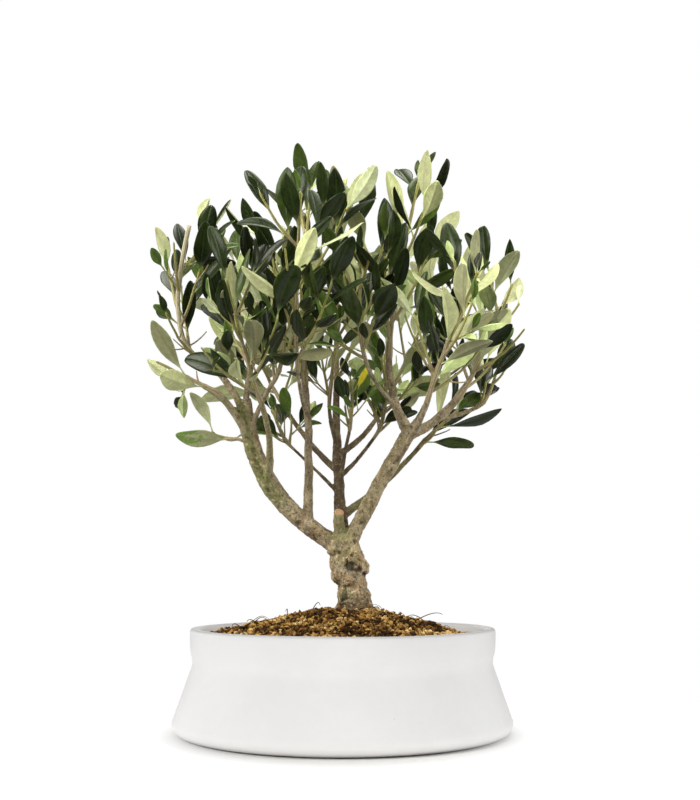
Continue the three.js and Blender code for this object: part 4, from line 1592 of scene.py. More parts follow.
# How green the limbs are that carry a film of algae
MOSSY_LIMBS = {
    "left": 1.0, "left_low": 0.3, "left_front": 0.5, "cut_stub": 0.75, "low_right": 0.6, "right": 0.2,
}
# Mossy places on the trunk: middle, reach and strength
MOSSY_PLACES = (
    (Vector((-1, -11, 138)), 12, 0.6),
    (Vector((2, -13, 125)), 13, 0.5),
    (Vector((0, -10, 95)), 9, 0.55),
)
# Dark knots on the trunk: middle and radius
TRUNK_KNOTS = (
    (Vector((5.5, -12, 115.5)), 5.2),
    (Vector((11, -11.5, 113)), 3.2),
    (Vector((0.5, -10.5, 94)), 4.6),
    (Vector((9, -9.5, 133)), 2.6),
)
# Burrs on the trunk: place and radius
TRUNK_BURRS = (
    ((2, -6, 91), 5.6), ((-2.5, -4, 108.5), 6.2), ((12.5, -4, 114.5), 6.8), ((5, -9, 104), 4.6),
    ((15, -2, 96), 5.2), ((-5, -5, 127), 5.5), ((9, 6, 106), 6.5), ((6, 8, 97), 5.4), ((16.5, -3, 88), 4.6),
)
BURR_LUMP = 0.22
BURR_LUMP_PITCH = 1.7
BURR_LEVELS = 3
# Surface roots: heading in degrees, reach and girth
SURFACE_ROOTS = ((200, 17, 4.6), (262, 14, 3.6), (325, 18, 4.4), (40, 15, 4), (125, 16, 4.2))
SURFACE_ROOT_SIDES = 12
SURFACE_ROOT_RISE = 5
SURFACE_ROOT_START = 4
SURFACE_ROOT_KNEE = 0.62
SURFACE_ROOT_TIP = 0.5
# How far above the soil the trunk's foot is stained by it, and how strongly
SOIL_STAIN = 9
STAIN_STRENGTH = 0.85


def limb_line(limb, steps):
    """Points along a limb's middle that stray a little, but not at its ends."""
    points = []
    for step in range(steps + 1):
        share = step / steps
        point = limb.curve.point(share)
        most = min(STRAY_MOST, limb.radius_at(share, 0) * STRAY_SHARE)
        points.append(point + noise.noise_vector(point / STRAY_PITCH) * most * math.sin(math.pi * share))
    return points


def cut_normal(limb):
    return (limb.curve.tangent(1) + CUT_LEAN).normalized()


def sawn_off(limb, rows):
    """Rows of corners along a limb, slid along it so that its end is a slanting cut."""
    along, normal = np.array(limb.curve.tangent(1)), np.array(cut_normal(limb))
    slide = -((rows[-1] - rows[-1].mean(axis=0)) @ normal) / (along @ normal)
    fade = np.linspace(0, 1, len(rows)) ** 2
    return rows + fade[:, None, None] * slide[None, :, None] * along


def limb_shape(limb, sides, beside=0):
    """Corners, in metres, and faces of a closed tube along a limb or a twin stem."""
    length = limb.curve.length()
    steps = max(6, round(length / LIMB_SPACING))
    points = limb_line(limb, steps)
    radii = []
    for step, point in enumerate(points):
        share = step / steps
        usual = np.array([limb.radius_at(share, angle) for angle in angles_round(sides)])
        if beside:
            parted = smooth_step(*TWIN_PARTING, share)
            across = limb.curve.tangent(share).cross(DEPTH).normalized()
            points[step] = point + across * (beside * parted * TWIN_APART * limb.radius_at(share, 0))
            usual = usual * mix(1, TWIN_GIRTH, parted)
        usual = usual * (1 + SWELL * noise.noise(point / SWELL_PITCH + Vector((7, 3, 1))))
        if limb.name != "trunk":
            usual = usual * (1 + COLLAR * math.exp(-share * length / COLLAR_REACH)) * BOUGH_SLIM
        radii.append(usual)
    corners = tube(points, radii, sides) * MM
    if limb.name in CUT_LIMBS:
        corners = sawn_off(limb, corners.reshape(steps + 1, sides, 3)).reshape(-1, 3)
    faces = [tuple(face) for face in grid_faces(steps + 1, sides)]
    faces.append(tuple(range(sides))[::-1])
    faces.append(tuple(range(steps * sides, (steps + 1) * sides)))
    return corners, faces


def fused(name, shapes, mesh_size):
    """One closed mesh round many overlapping shapes, with soft crotches."""
    corners, faces = [], []
    for shape_corners, shape_faces in shapes:
        faces += [tuple(int(corner) + len(corners) for corner in face) for face in shape_faces]
        corners += [tuple(corner) for corner in shape_corners]
    rough = bpy.data.meshes.new(f"{name}_rough")
    rough.from_pydata(corners, [], faces)
    holder = add_piece(f"{name}_rough", rough)
    remesh = holder.modifiers.new("skin", "REMESH")
    remesh.mode = "VOXEL"
    remesh.voxel_size = mesh_size
    smooth = holder.modifiers.new("soft", "SMOOTH")
    smooth.factor = SKIN_SMOOTHING
    smooth.iterations = SKIN_PASSES
    depsgraph = bpy.context.evaluated_depsgraph_get()
    mesh = bpy.data.meshes.new_from_object(holder.evaluated_get(depsgraph))
    bpy.data.objects.remove(holder)
    bpy.data.meshes.remove(rough)
    mesh.name = name
    return mesh


class LimbFinder:
    """Finds the limb next to any point, the share of its length there and its radius."""

    SPACING = 2
    CANDIDATES = 6

    def __init__(self, tree):
        self.samples = []
        for limb in tree.limbs.values():
            steps = max(8, round(limb.curve.length() / self.SPACING))
            self.samples += [(limb, step / steps) for step in range(steps + 1)]
        self.search = KDTree(len(self.samples))
        for i, (limb, at) in enumerate(self.samples):
            self.search.insert(limb.curve.point(at), i)
        self.search.balance()

    def nearest(self, point):
        """The limb with the nearest surface to a point, with the share and radius there."""
        found = []
        for middle, i, distance in self.search.find_n(point, self.CANDIDATES):
            limb, at = self.samples[i]
            radius = limb.radius_at(at, 0)
            found.append((distance - radius, i, limb, at, radius, point - middle))
        return min(found)[2:]


def bark_height(place, girth):
    """Height of the bark, as a share of the relief, and how deep in a pit it lies, where the colour darkens
    as painted shade.
    """
    old = min(1, girth / 11)
    lumps = noise.noise(place / 9.5) + 0.6 * noise.noise(place / 3.9 + Vector((5, 1, 8)))
    wrinkle = noise.noise(Vector((place.x / 1.7, place.y / 1.7, place.z / 3)))
    grain = noise.noise(place / 1.2 + Vector((1, 7, 2)))
    pit = max(0, noise.noise(place / 3.7 + Vector((9, 4, 1))) - 0.32) / 0.5
    scar = max(0, 1 - noise.voronoi(place / 3.2 + Vector((2, 9, 4)))[0][0] / 0.24)
    coarse = old**1.5 * (0.6 * lumps - 0.9 * pit)
    fine = mix(0.06, 0.34, old) * wrinkle + mix(0.03, 0.2, old) * grain - mix(0.08, 0.3, old) * scar
    knot = knot_depth(place)
    return coarse + fine - 0.9 * knot, min(1, pit * 1.6 * old + 0.5 * scar * old + knot)


def knot_depth(place):
    """How deep in one of the trunk's ragged dark knots a place lies, from 0 to 1."""
    ragged = 0.45 * noise.noise(place / 2.1 + Vector((3, 3, 8)))
    depths = [1 - (place - middle).length / radius + ragged for middle, radius in TRUNK_KNOTS]
    return smooth_step(0, 0.5, max(depths))


def limb_tints(limb, at, girth, place, offset):
    """How brown, mossy and old the bark is at a place; the brown is painted shade on shaded limbs, and the
    soil's stain at the foot.
    """
    brown = SHADE_BROWN_LIMBS.get(limb.name, 0)
    moss = MOSSY_LIMBS.get(limb.name, 0)
    if limb.name in TWIN_LIMBS:
        # On a twin bough the inner stem, on the side away from the key light, takes the brown painted shade,
        # and the outer one the moss
        outer = smooth_step(-0.55, -0.15, (-offset.x + 0.4 * offset.z) / girth)
        brown, moss = brown * (1 - outer), moss * outer * smooth_step(0.28, 0.5, at)
    for middle, reach, strength in MOSSY_PLACES:
        moss = max(moss, strength * smooth_step(reach * 1.3, reach * 0.4, (place - middle).length))
    stain = STAIN_STRENGTH * smooth_step(SOIL_STAIN, 1, place.z - GROUND)
    return max(brown, stain), moss * (1 - stain), min(1, girth / 9)


def evened(mesh, values, passes):
    """Values at a mesh's corners, drawn towards their neighbours' a number of times."""
    edges = np.empty(len(mesh.edges) * 2, dtype=np.int32)
    mesh.edges.foreach_get("vertices", edges)
    ends = np.concatenate([edges.reshape(-1, 2), edges.reshape(-1, 2)[:, ::-1]])
    counts = np.bincount(ends[:, 0], minlength=len(values))[:, None]
    for _ in range(passes):
        columns = values[ends[:, 1]].T
        sums = np.stack([np.bincount(ends[:, 0], column, len(values)) for column in columns], axis=1)
        values = (values + sums / counts) / 2
    return values


def make_bark(look, tree):
    """Trunk and boughs as one skin of bark in relief, and the pruned stub's sawn face."""
    shapes = []
    for limb in tree.limbs.values():
        stems = (-1, 1) if limb.name in TWIN_LIMBS else (0,)
        shapes += [limb_shape(limb, LIMB_SIDES, beside) for beside in stems]
    shapes += root_shapes(tree)
    shapes += [burr_shape(Vector(place), radius) for place, radius in TRUNK_BURRS]
    mesh = fused("bark_wood", shapes, look.mesh_size)
    finder = LimbFinder(tree)
    heights, tints = [], []
    for vertex in mesh.vertices:
        place = vertex.co / MM
        limb, at, girth, offset = finder.nearest(place)
        height, pit = bark_height(place, girth)
        heights.append(look.relief * height)
        tints.append((*limb_tints(limb, at, girth, place, offset), pit))
    normals = [vertex.normal.copy() for vertex in mesh.vertices]
    for vertex, normal, height in zip(mesh.vertices, normals, heights):
        vertex.co += normal * height
    tints = np.array(tints)
    tints[:, :3] = evened(mesh, tints[:, :3], TINT_PASSES)
    for name, values in zip(BARK_TINTS, tints.T):
        mesh.attributes.new(name, "FLOAT", "POINT").data.foreach_set("value", values.astype(np.float32))
    mesh.polygons.foreach_set("use_smooth", np.ones(len(mesh.polygons), dtype=bool))
    mesh.materials.clear()
    mesh.materials.append(bark_finish(look))
    seat(add_piece("bark_wood", mesh), "bark", "trunk", *[f"bough_{name}" for name in BOUGHS])
    for name in CUT_LIMBS:
        make_cut_face(look, tree.limbs[name])


def root_shapes(tree):
    """Surface roots that run from the trunk's foot down into the soil."""
    foot = tree.limbs["trunk"].curve.point(TRUNK_BURIED / (TRUNK_FORK[2] - GROUND + TRUNK_BURIED))
    shapes = []
    for degrees, reach, girth in SURFACE_ROOTS:
        angle = math.radians(degrees)
        out = Vector((math.cos(angle), math.sin(angle), 0))
        start = foot + UP * SURFACE_ROOT_RISE + out * SURFACE_ROOT_START
        end = foot + out * reach - UP * SURFACE_ROOT_RISE
        curve = Bow(start, foot + out * (reach * SURFACE_ROOT_KNEE), end)
        root = Limb("root", curve, tapering(girth, girth * SURFACE_ROOT_TIP))
        shapes.append(limb_shape(root, SURFACE_ROOT_SIDES))
    return shapes


def burr_shape(place, radius):
    """A lump half sunk in the trunk."""
    corners, faces = ball(BURR_LEVELS)
    lumps = [1 + BURR_LUMP * noise.noise(Vector(corner) * BURR_LUMP_PITCH + place) for corner in corners]
    corners = corners * np.array(lumps)[:, None] * radius + np.array(place)
    return corners * MM, [tuple(face) for face in faces]


def make_cut_face(look, limb):
    """A sawn disc with growth rings on the end of a pruned limb."""
    axis = cut_normal(limb)
    middle = limb.curve.point(1) + axis * CUT_PROUD
    radius = limb.radius_at(1, 0) * BOUGH_SLIM * CUT_WIDTH
    across = square_to(axis, Vector((1, 0, 0)))
    aside = axis.cross(across)
    corners = []
    for ring in range(CUT_RINGS):
        reach = radius * mix(0.02, 1, ring / (CUT_RINGS - 1))
        drop = -CUT_SKIRT if ring == CUT_RINGS - 1 else 0
        for angle in angles_round(CUT_SIDES):
            out = across * math.cos(angle) + aside * math.sin(angle)
            wave = 1 + CUT_WAVE * noise.noise(out * 2)
            corners.append((middle + out * (reach * wave) + axis * drop) * MM)
    grid = (CUT_RINGS, CUT_SIDES)
    sheaf = Sheaf(["cut"])
    sheaf.add(np.array(corners), grid_faces(*grid)[:, ::-1], 0, grid_map(*grid)[:, ::-1])
    piece = sheaf.to_piece(f"{limb.name}_sawn_face", {"cut": cut_finish(look, middle * MM)})
    seat(piece, "bark", f"bough_{limb.name}")


TWIG_SLOTS = ("grey", "tan", "young", "bare")
# For each rank of twig, the shares of its length where grey bark turns tan, and tan turns green
TWIG_WOODY = {
    LEADER_RANK: (0.55, 0.88),
    SIDE_RANK: (0.2, 0.6),
    SPRAY_RANK: (0.0, 0.25),
    BARE_RANK: (0.7, 1.1),
}
TWIG_SIDES = 7
TWIG_SPACING = 3.2
TWIG_STRAY = 0.55
TWIG_STRAY_PITCH = 9
# Radii of a leader at foot and tip, the least of a pruned one, and how its bough's girth runs out in it
LEADER_GIRTHS = (1.9, 0.95)
PRUNED_GIRTH = 1.75
FOOT_FIT = 0.96
FOOT_SHARE = 0.3
FOOT_FALL = 1.5
# How much stouter a side twig is drawn than the rule has it, and how it thins
TWIG_STOUT = 1.2
TWIG_TIP_SHARE = 0.55
TWIG_TAPER = 0.8
# Knuckle at each pair of leaves
KNUCKLE = 0.28
KNUCKLE_LENGTH = 1.3
# How deep a leading shoot and any other twig stand in their parent, and the twig's rounded end
LEADER_SUNK, TWIG_SUNK = 3.5, 0.6
TIP_ROUND, TIP_END = 0.7, 1.5
TIP_RADIUS = 0.06
PRUNED_BLUNT = 0.15


def twig_girth(shoot, share, foot_girth, nodes):
    """Radius of a twig: a stout foot, a fine tip, a knuckle at each pair of leaves."""
    if shoot.rank == LEADER_RANK:
        foot, tip = LEADER_GIRTHS
        usual = mix(foot, tip, share) + (foot_girth - foot) * max(0, 1 - share / FOOT_SHARE) ** FOOT_FALL
        if shoot.cut_off:
            usual = max(usual, PRUNED_GIRTH)
    else:
        usual = TWIG_STOUT * mix(shoot.radii[0], shoot.radii[0] * TWIG_TIP_SHARE, share**TWIG_TAPER)
    knuckles = sum(math.exp(-(((share - node) * shoot.length / KNUCKLE_LENGTH) ** 2)) for node in nodes)
    return usual * (1 + KNUCKLE * knuckles)


def twig_tube(shoot, foot_girth):
    """Corners, faces, slots and map of one twig, from inside its parent on."""
    steps = max(5, round(shoot.length / TWIG_SPACING))
    nodes = sorted({leaf.at for leaf in shoot.leaves})
    points, radii = [], []
    for step in range(steps + 1):
        at = step / steps
        point = shoot.curve.point(at)
        stray = noise.noise_vector(point / TWIG_STRAY_PITCH) * TWIG_STRAY * math.sin(math.pi * at)
        points.append(point + stray)
        radii.append(twig_girth(shoot, at, foot_girth, nodes))
    sunk = LEADER_SUNK if shoot.rank == LEADER_RANK else TWIG_SUNK
    points.insert(0, points[0] - shoot.curve.tangent(0) * sunk)
    radii.insert(0, radii[0] * FOOT_FIT)
    last = shoot.curve.tangent(1)
    blunt = PRUNED_BLUNT if shoot.cut_off else 1
    points += [points[-1] + last * (TIP_ROUND * blunt), points[-1] + last * (TIP_END * blunt)]
    radii += [radii[-1] * mix(0.94, 0.8, blunt), TIP_RADIUS]
    grid = (len(points), TWIG_SIDES)
    row_share = np.repeat(np.arange(grid[0] - 1) / (grid[0] - 1), TWIG_SIDES)
    tan_from, green_from = TWIG_WOODY[shoot.rank]
    slots = np.select([row_share < tan_from, row_share < green_from], [0, 1], 2)
    if shoot.cut_off and shoot.rank == LEADER_RANK:
        slots = TWIG_SLOTS.index("bare")
    return tube(points, radii, TWIG_SIDES) * MM, grid_faces(*grid), slots, grid_map(*grid)


def make_twigs(look, tree):
    """All twigs as one piece."""
    sheaf = Sheaf(list(TWIG_SLOTS))
    for spray in tree.sprays:
        foot_girth = spray.bough.radius_at(1, 0) * FOOT_FIT
        for shoot in spray.shoots:
            sheaf.add(*twig_tube(shoot, foot_girth))
    materials = {
        "grey": twig_finish("grey", look.limb, look.dark),
        "tan": twig_finish("tan", mix_colour(look.limb, look.young, 0.6), lighter(look.tan, 0.5)),
        "young": twig_finish("young", look.young, lighter(look.tan, 0.9)),
        "bare": twig_finish("bare", look.bare, look.limb),
    }
    seat(sheaf.to_piece("twigs", materials), "bark", *[spray.node for spray in tree.sprays])


def mix_colour(low, high, amount):
    return tuple(mix(a, b, amount) for a, b in zip(low, high))


# Leaves

UPPER_TINTS = ("deep", "bottle", "olive", "fresh")
UNDER_TINTS = ("silver", "sage", "straw", "lime", "dull", "gold", "blotched")
LEAF_SLOTS = (*UPPER_TINTS, *UNDER_TINTS, "petiole")
# Rows along a leaf, of which the first few are its stalk, and columns across it, as shares
LEAF_ROWS = np.array(
    [0, 0.035, 0.07, 0.1, 0.15, 0.22, 0.31, 0.41, 0.52, 0.63, 0.74, 0.83, 0.9, 0.95, 0.985, 1]
)
LEAF_COLUMNS = np.array([-1, -0.87, -0.5, -0.11, 0, 0.11, 0.5, 0.87, 1])
PETIOLE_SHARE = 0.1
# Share of the leaves that show their upper face outwards, in most sprays and in those that differ
UPPER_IN_FRONT = 0.84
PALE_SPRAYS = {
    "left_low": 0.2, "left_twig": 0.0, "left_outer": 0.86, "left_inner": 0.5,
    "right_outer": 0.46, "right_front": 0.45, "right_back": 0.7, "right_centre": 0.7, "low_right": 0.7,
}
EDGE_ON = 0.2
# Depth in millimetres from which the leaves look to the back
BACK_FROM = 30
# Degrees by which a leaf strays from the rule's way on its stalk
LEAF_SWAY = 14
# How strongly an edge-on leaf turns its blade to the front or the back
BLADE_TURN = 0.42
# Sprays whose oldest leaf is turning
TURNING_LEAVES = {"left_twig": "blotched", "low_centre": "gold"}
BLOTCHES = 0.85
PETIOLE_ROWS = 3
# Ranges of a blade's width, fullness, bluntness, fold in degrees, rolled margin, wave and hump
BLADE_WIDTHS = (0.84, 1.14)
BLADE_FULLNESS = (1.0, 1.38)
BLADE_TIPS = (0.36, 0.74)
BLADE_FOLDS = (5, 50)
BLADE_ROLLS = (0.04, 0.24)
BLADE_WAVES = (0.0, 0.08)
BLADE_HUMPS = (-0.03, 0.1)
BLADE_TWIST = 0.9
BLADE_SWAY = 0.13
# The midrib, in millimetres: half width, groove above and ridge below
RIB_HALF_WIDTH = 0.75
RIB_GROOVE = 0.3
RIB_RIDGE = 0.42
# The draw up to which each tint is dealt, how far a spray keeps to its own, and the chance of a fresh leaf
UPPER_CHANCES = {"deep": 0.36, "bottle": 0.72, "olive": 1}
# Dull is the shaded copy of sage: painted shade, dealt at random
UNDER_CHANCES = {"dull": 0.22, "sage": 0.56, "silver": 0.8, "straw": 1}
SPRAY_TINT, OWN_TINT = 0.6, 0.4
SMALL_LEAF = 0.6
FRESH_IF_SMALL, FRESH_IF_GROWN = 0.45, 0.05
LEAF_PIECES = {
    "leaves_left": (
        "left_low", "left_outer", "left_inner", "left_front", "left_spur", "left_twig", "low_left",
    ),
    "leaves_middle": (
        "side_front", "centre_front", "centre_top", "centre_spur", "back_left", "low_centre", "inner_front",
    ),
    "leaves_right": (
        "back_right", "inner_right", "low_right", "right_outer", "right_low",
        "right_centre", "right_back", "right_front",
    ),
}


class BladeGrid:
    """The faces of every blade: an upper and an under sheet joined at the rim."""

    def __init__(self):
        rows, columns = len(LEAF_ROWS), len(LEAF_COLUMNS)
        upper = np.arange(rows * columns).reshape(rows, columns)
        inner = np.zeros((rows, columns), dtype=bool)
        inner[1:-1, 1:-1] = True
        under = upper.copy()
        under[inner] = rows * columns + np.arange(inner.sum())
        plain = grid_faces(rows, columns, closed=False)
        self.inner = inner
        self.faces = np.concatenate([plain, under.ravel()[plain][:, ::-1]])
        across = np.broadcast_to((LEAF_COLUMNS + 1) / 2, (rows, columns))
        along = np.broadcast_to(LEAF_ROWS[:, None], (rows, columns))
        places = np.stack([across, along], axis=2).reshape(-1, 2)[plain]
        self.map = np.concatenate([places, places[:, ::-1]])
        row_of = plain[:, 0] // columns
        self.on_petiole = np.tile(row_of < PETIOLE_ROWS, 2)
        self.is_under = np.repeat([False, True], len(plain))

    def slots(self, upper, under):
        chosen = np.where(self.is_under, under, upper)
        return np.where(self.on_petiole, LEAF_SLOTS.index("petiole"), chosen)


def blade_half_width(length_mm, width_share, fullness, tip):
    """Half widths of a blade at its rows: a slim stalk, then a long blunt oval."""
    along = np.clip((LEAF_ROWS - PETIOLE_SHARE) / (1 - PETIOLE_SHARE), 0, 1)
    oval = np.sin(math.pi * along**fullness).clip(0) ** mix(1.15, tip, along)
    stalk = np.interp(LEAF_ROWS, [0, PETIOLE_SHARE, 0.2, 1], [0.75, 0.6, 0.4, 0.22])
    return np.maximum(stalk, oval * length_mm * width_share / 2)


def blade_corners(grid, leaf, thickness, dice):
    """Corners of one leaf in millimetres: folded, rolled at its margins, bent, twisted."""
    width_share = LEAF_WIDTH_SHARE * dice.between(*BLADE_WIDTHS)
    fullness, tip = dice.between(*BLADE_FULLNESS), dice.between(*BLADE_TIPS)
    half = blade_half_width(leaf.length, width_share, fullness, tip)[:, None]
    fold = math.radians(dice.between(*BLADE_FOLDS))
    roll = dice.between(*BLADE_ROLLS)
    wave = dice.between(*BLADE_WAVES)
    phase = dice.draw() * FULL_TURN
    twist = dice.astray(BLADE_TWIST)
    sway = dice.astray(BLADE_SWAY) * leaf.length
    hump = dice.between(*BLADE_HUMPS) * leaf.length
    sideways = LEAF_COLUMNS[None, :]
    along = LEAF_ROWS[:, None]
    out = abs(sideways)
    rise = half * (out * math.sin(fold) * (1 - 0.3 * out) - roll * smooth_step(0.55, 1.25, out))
    rise = rise + half * out * wave * np.sin(along * 11 + phase + (sideways > 0) * 1.3)
    x = sideways * half * math.cos(fold * 0.8)
    turn = twist * (along - 0.35)
    swing = 4 * along * (1 - along)
    blade_x = x * np.cos(turn) - rise * np.sin(turn) + sway * swing
    blade_z = x * np.sin(turn) + rise * np.cos(turn) - leaf.arch * leaf.length * along**2 + hump * swing
    rib = np.exp(-((sideways * half / RIB_HALF_WIDTH) ** 2))
    edge = smooth_step(1.0, 0.8, out)
    upper_z = blade_z + edge * (thickness / 2 - RIB_GROOVE * rib * smooth_step(0.05, 0.14, along))
    under_z = blade_z - edge * (thickness / 2 + RIB_RIDGE * rib)
    reach = np.broadcast_to(LEAF_ROOT_AT + (leaf.length - LEAF_ROOT_AT) * along, blade_x.shape)
    axes = np.array([leaf.along.cross(leaf.face), leaf.along, leaf.face])
    upper = np.stack([blade_x, reach, upper_z], axis=2) @ axes
    under = np.stack([blade_x, reach, under_z], axis=2) @ axes
    return np.concatenate([upper.reshape(-1, 3), under[grid.inner]]) + np.array(leaf.root)


def dealt(chances, draw):
    """The first tint whose chance a draw lies under."""
    return next(tint for tint, chance in chances.items() if draw < chance)


def leaf_tints(leaf, spray_tint, dice):
    """A leaf's colours: young ones are fresher, and a spray keeps to its own tint."""
    upper = dealt(UPPER_CHANCES, SPRAY_TINT * spray_tint + OWN_TINT * dice.draw())
    small = leaf.length < LEAF_LENGTH * SMALL_LEAF
    if dice.draw() < (FRESH_IF_SMALL if small else FRESH_IF_GROWN):
        return "fresh", "lime"
    return upper, dealt(UNDER_CHANCES, dice.draw())


def make_leaves(look, bark, tree):
    """All leaves in three pieces, each leaf a closed blade in its own outline."""
    grid = BladeGrid()
    materials = {name: upper_finish(name, getattr(look, name), look) for name in UPPER_TINTS}
    for name in UNDER_TINTS[:-1]:
        materials[name] = under_finish(name, getattr(look, name), look)
    materials["blotched"] = under_finish("blotched", look.sage, look, BLOTCHES)
    stalk = mix_colour(bark.young, look.lime, 0.4)
    materials["petiole"] = twig_finish("petiole", stalk, lighter(bark.young, 0.7))
    sprays = {spray.name: spray for spray in tree.sprays}
    for piece_name, names in LEAF_PIECES.items():
        sheaf = Sheaf(list(LEAF_SLOTS))
        for name in names:
            add_spray_leaves(sheaf, grid, sprays[name], look)
        seat(sheaf.to_piece(piece_name, materials), "leaves", *[sprays[name].node for name in names])


def swayed(leaf, dice):
    """A leaf turned a little on its stalk, as the wind and the light leave it."""
    along = turned(leaf.along, leaf.face, math.radians(dice.astray(2 * LEAF_SWAY)))
    across = leaf.face.cross(along)
    along = turned(along, across, math.radians(dice.astray(LEAF_SWAY)))
    face = leaf.face + DEPTH * math.copysign(BLADE_TURN, leaf.face.y)
    return leaf._replace(along=along.normalized(), face=square_to(along, face))


def add_spray_leaves(sheaf, grid, spray, look):
    dice = spray.fine_dice
    turning = TURNING_LEAVES.get(spray.name)
    for shoot in spray.shoots:
        spray_tint = dice.draw()
        for leaf in shoot.leaves:
            leaf = swayed(leaf, dice)
            shows_upper = dice.draw() < PALE_SPRAYS.get(spray.name, UPPER_IN_FRONT)
            if leaf.root.y > BACK_FROM:
                shows_upper = not shows_upper
            if abs(leaf.face.y) > EDGE_ON and shows_upper == (leaf.face.y > 0):
                leaf = leaf._replace(face=-leaf.face, arch=-leaf.arch)
            upper, under = leaf_tints(leaf, spray_tint, dice)
            if turning:
                upper, under = ("gold" if turning == "gold" else upper), turning
                turning = None
            corners = blade_corners(grid, leaf, look.thickness / MM, dice) * MM
            slots = grid.slots(LEAF_SLOTS.index(upper), LEAF_SLOTS.index(under))
            sheaf.add(corners, grid.faces, slots, grid.map)


# Stage


def add_light(name, place, aim, size, power, spread=180):
    lamp = bpy.data.lights.new(name, "AREA")
    lamp.shape = "DISK"
    lamp.size = size
    lamp.energy = power
    lamp.spread = math.radians(spread)
    light = add_piece(name, lamp)
    light.location = place
    light.rotation_euler = (Vector(aim) - Vector(place)).to_track_quat("-Z", "Y").to_euler()
    return light


def light_only(light, pieces):
    """Keeps a light to some pieces, as a studio flag would."""
    lit = bpy.data.collections.new(f"lit_by_{light.name}")
    for piece in pieces:
        lit.objects.link(piece)
    light.light_linking.receiver_collection = lit


def make_stage(look):
    """Camera, soft lights, a white surround and a pale floor."""
    scene = bpy.context.scene
    scene.view_settings.view_transform = "Standard"
    camera = bpy.data.cameras.new("camera")
    camera.lens = look.lens
    eye = add_piece("camera", camera)
    eye.location = look.eye
    eye.rotation_euler = (math.pi / 2 + look.tilt, 0, 0)
    scene.camera = eye
    light_tree(look)
    light_pot(look)
    surround(scene, look)
    make_floor(look)


TREE_LIGHTS = {
    "key": (-0.85, -0.55, 0.9),
    "side": (0.95, -0.2, 0.65),
    "top": (0.1, 0.15, 1.3),
    "crown": (0.25, -1.15, 0.95),
}
TREE_LIGHT_SIZE = 1.1
TREE_LIGHT_SPREAD = 70
CROWN_MIDDLE = (0, 0, 0.34)
TENT_LIGHTS = 6
TENT_LIGHT_SIZE = 0.8
TENT_RADIUS = 1.25
TENT_HEIGHT = 0.45
TENT_AIM = (0, 0, 0.05)
# Shares by which the left and the front of the tent are brighter than its middle
TENT_LEFT = 0.13
TENT_FRONT = 0.22
FLOOR_SIDES = 64


def light_tree(look):
    """Large soft lights round the tree, none for the pot and the front one for leaves only."""
    pieces = [piece for piece in bpy.data.objects if piece.type == "MESH" and piece.name != "pot_glazed"]
    leaves = [bpy.data.objects[name] for name in LEAF_PIECES]
    for name, place in TREE_LIGHTS.items():
        power = getattr(look, name)
        light = add_light(name, place, CROWN_MIDDLE, TREE_LIGHT_SIZE, power, TREE_LIGHT_SPREAD)
        light.data.color = look.warmth
        light_only(light, leaves if name == "crown" else pieces)


def light_pot(look):
    """A tent of soft lights round the pot, brighter on its left and in front."""
    for i in range(TENT_LIGHTS):
        angle = FULL_TURN * (i + 0.5) / TENT_LIGHTS
        place = (TENT_RADIUS * math.cos(angle), TENT_RADIUS * math.sin(angle), TENT_HEIGHT)
        power = look.tent * (1 - TENT_LEFT * math.cos(angle) - TENT_FRONT * math.sin(angle))
        light = add_light(f"tent_{i + 1}", place, TENT_AIM, TENT_LIGHT_SIZE, power)
        light_only(light, [bpy.data.objects["pot_glazed"]])
        light.light_linking.blocker_collection = light.light_linking.receiver_collection


def make_floor(look):
    """A pale disc that the tree's lights fall on too, but for the crown's."""
    mesh = bpy.data.meshes.new("floor")
    radius = look.floor_radius
    rim = [(radius * math.cos(a), radius * math.sin(a), 0) for a in angles_round(FLOOR_SIDES)]
    mesh.from_pydata(rim, [], [tuple(range(FLOOR_SIDES))])
    mesh.materials.append(floor_finish(look))
    floor = add_piece("floor", mesh)
    for name in TREE_LIGHTS:
        if name != "crown":
            bpy.data.objects[name].light_linking.receiver_collection.objects.link(floor)


def surround(scene, look):
    """White all round the picture, with a softer light from it on the tree."""
    world = bpy.data.worlds.new("surround")
    world.use_nodes = True
    scene.world = world
    nodes, links = world.node_tree.nodes, world.node_tree.links
    path = nodes.new("ShaderNodeLightPath")
    strength = nodes.new("ShaderNodeMapRange")
    strength.inputs["To Min"].default_value = look.ambient
    strength.inputs["To Max"].default_value = 1
    links.new(path.outputs["Is Camera Ray"], strength.inputs["Value"])
    background = nodes["Background"]
    background.inputs["Color"].default_value = (1, 1, 1, 1)
    links.new(strength.outputs[0], background.inputs["Strength"])


# Operators


class BonsaiLooks(bpy.types.PropertyGroup):
    """All sizes and colours of the bonsai."""

    pot: PointerProperty(type=PotLook)
    soil: PointerProperty(type=SoilLook)
    bark: PointerProperty(type=BarkLook)
    leaf: PointerProperty(type=LeafLook)
    stage: PointerProperty(type=StageLook)


@cache
def grown_tree():
    """The tree, grown once."""
    return Tree()


class BONSAI_OT_stage(bpy.types.Operator):
    """Sets up the camera, the lights and the floor."""

    bl_idname = "bonsai.stage"
    bl_label = "Stage"

    def execute(self, context):
        make_stage(context.scene.bonsai.stage)
        return {"FINISHED"}


class BONSAI_OT_pot(bpy.types.Operator):
    """Throws and glazes the pot."""

    bl_idname = "bonsai.pot"
    bl_label = "Pot"

    def execute(self, context):
        make_pot(context.scene.bonsai.pot)
        return {"FINISHED"}


class BONSAI_OT_soil(bpy.types.Operator):
    """Fills the pot with loose soil."""

    bl_idname = "bonsai.soil"
    bl_label = "Soil"

    def execute(self, context):
        make_soil(context.scene.bonsai.soil)
        return {"FINISHED"}


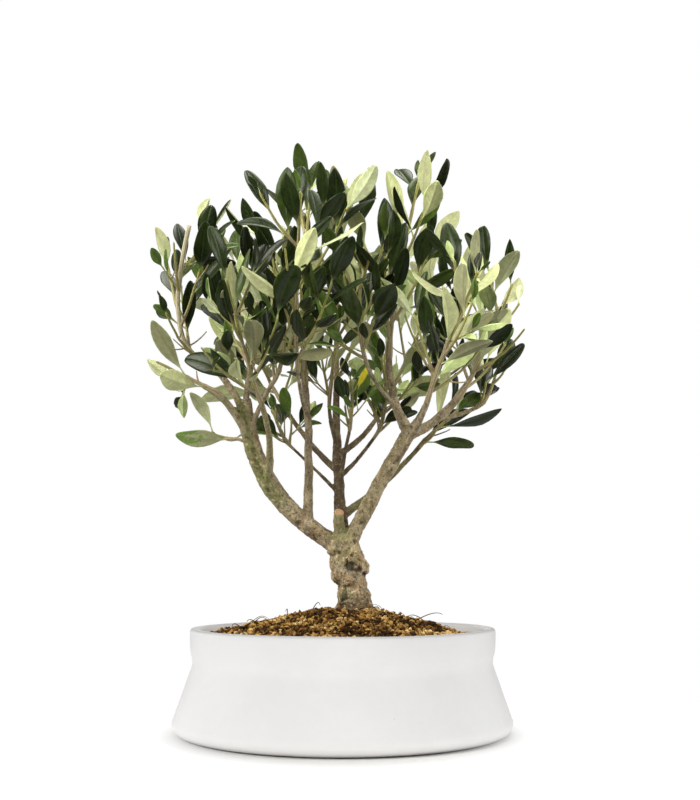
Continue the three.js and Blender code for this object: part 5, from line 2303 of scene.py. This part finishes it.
class BONSAI_OT_bark(bpy.types.Operator):
    """Clothes trunk and boughs in bark."""

    bl_idname = "bonsai.bark"
    bl_label = "Trunk and boughs"

    def execute(self, context):
        make_bark(context.scene.bonsai.bark, grown_tree())
        return {"FINISHED"}


class BONSAI_OT_twigs(bpy.types.Operator):
    """Grows the twigs on from the boughs."""

    bl_idname = "bonsai.twigs"
    bl_label = "Twigs"

    def execute(self, context):
        make_twigs(context.scene.bonsai.bark, grown_tree())
        return {"FINISHED"}


class BONSAI_OT_leaves(bpy.types.Operator):
    """Sets the leaves on the twigs."""

    bl_idname = "bonsai.leaves"
    bl_label = "Leaves"

    def execute(self, context):
        looks = context.scene.bonsai
        make_leaves(looks.leaf, looks.bark, grown_tree())
        return {"FINISHED"}


OPERATORS = (
    BONSAI_OT_pot,
    BONSAI_OT_soil,
    BONSAI_OT_bark,
    BONSAI_OT_twigs,
    BONSAI_OT_leaves,
    BONSAI_OT_stage,
)


class BONSAI_PT_panel(bpy.types.Panel):
    """Sizes, colours and steps of the bonsai."""

    bl_idname = "BONSAI_PT_panel"
    bl_label = "Olive Bonsai"
    bl_space_type = "VIEW_3D"
    bl_region_type = "UI"
    bl_category = "Bonsai"

    def draw(self, context):
        for operator in OPERATORS:
            self.layout.operator(operator.bl_idname)
        looks = context.scene.bonsai
        for group in (looks.pot, looks.soil, looks.bark, looks.leaf, looks.stage):
            box = self.layout.box()
            for name in group.__annotations__:
                box.prop(group, name)


CLASSES = (PotLook, SoilLook, BarkLook, LeafLook, StageLook, BonsaiLooks, *OPERATORS, BONSAI_PT_panel)


def register():
    for kind in CLASSES:
        bpy.utils.register_class(kind)
    bpy.types.Scene.bonsai = PointerProperty(type=BonsaiLooks)


def unregister():
    del bpy.types.Scene.bonsai
    for kind in reversed(CLASSES):
        bpy.utils.unregister_class(kind)


def main():
    register()
    bpy.ops.bonsai.pot()
    bpy.ops.bonsai.soil()
    bpy.ops.bonsai.bark()
    bpy.ops.bonsai.twigs()
    bpy.ops.bonsai.leaves()
    bpy.ops.bonsai.stage()


if __name__ == "__main__":
    main()
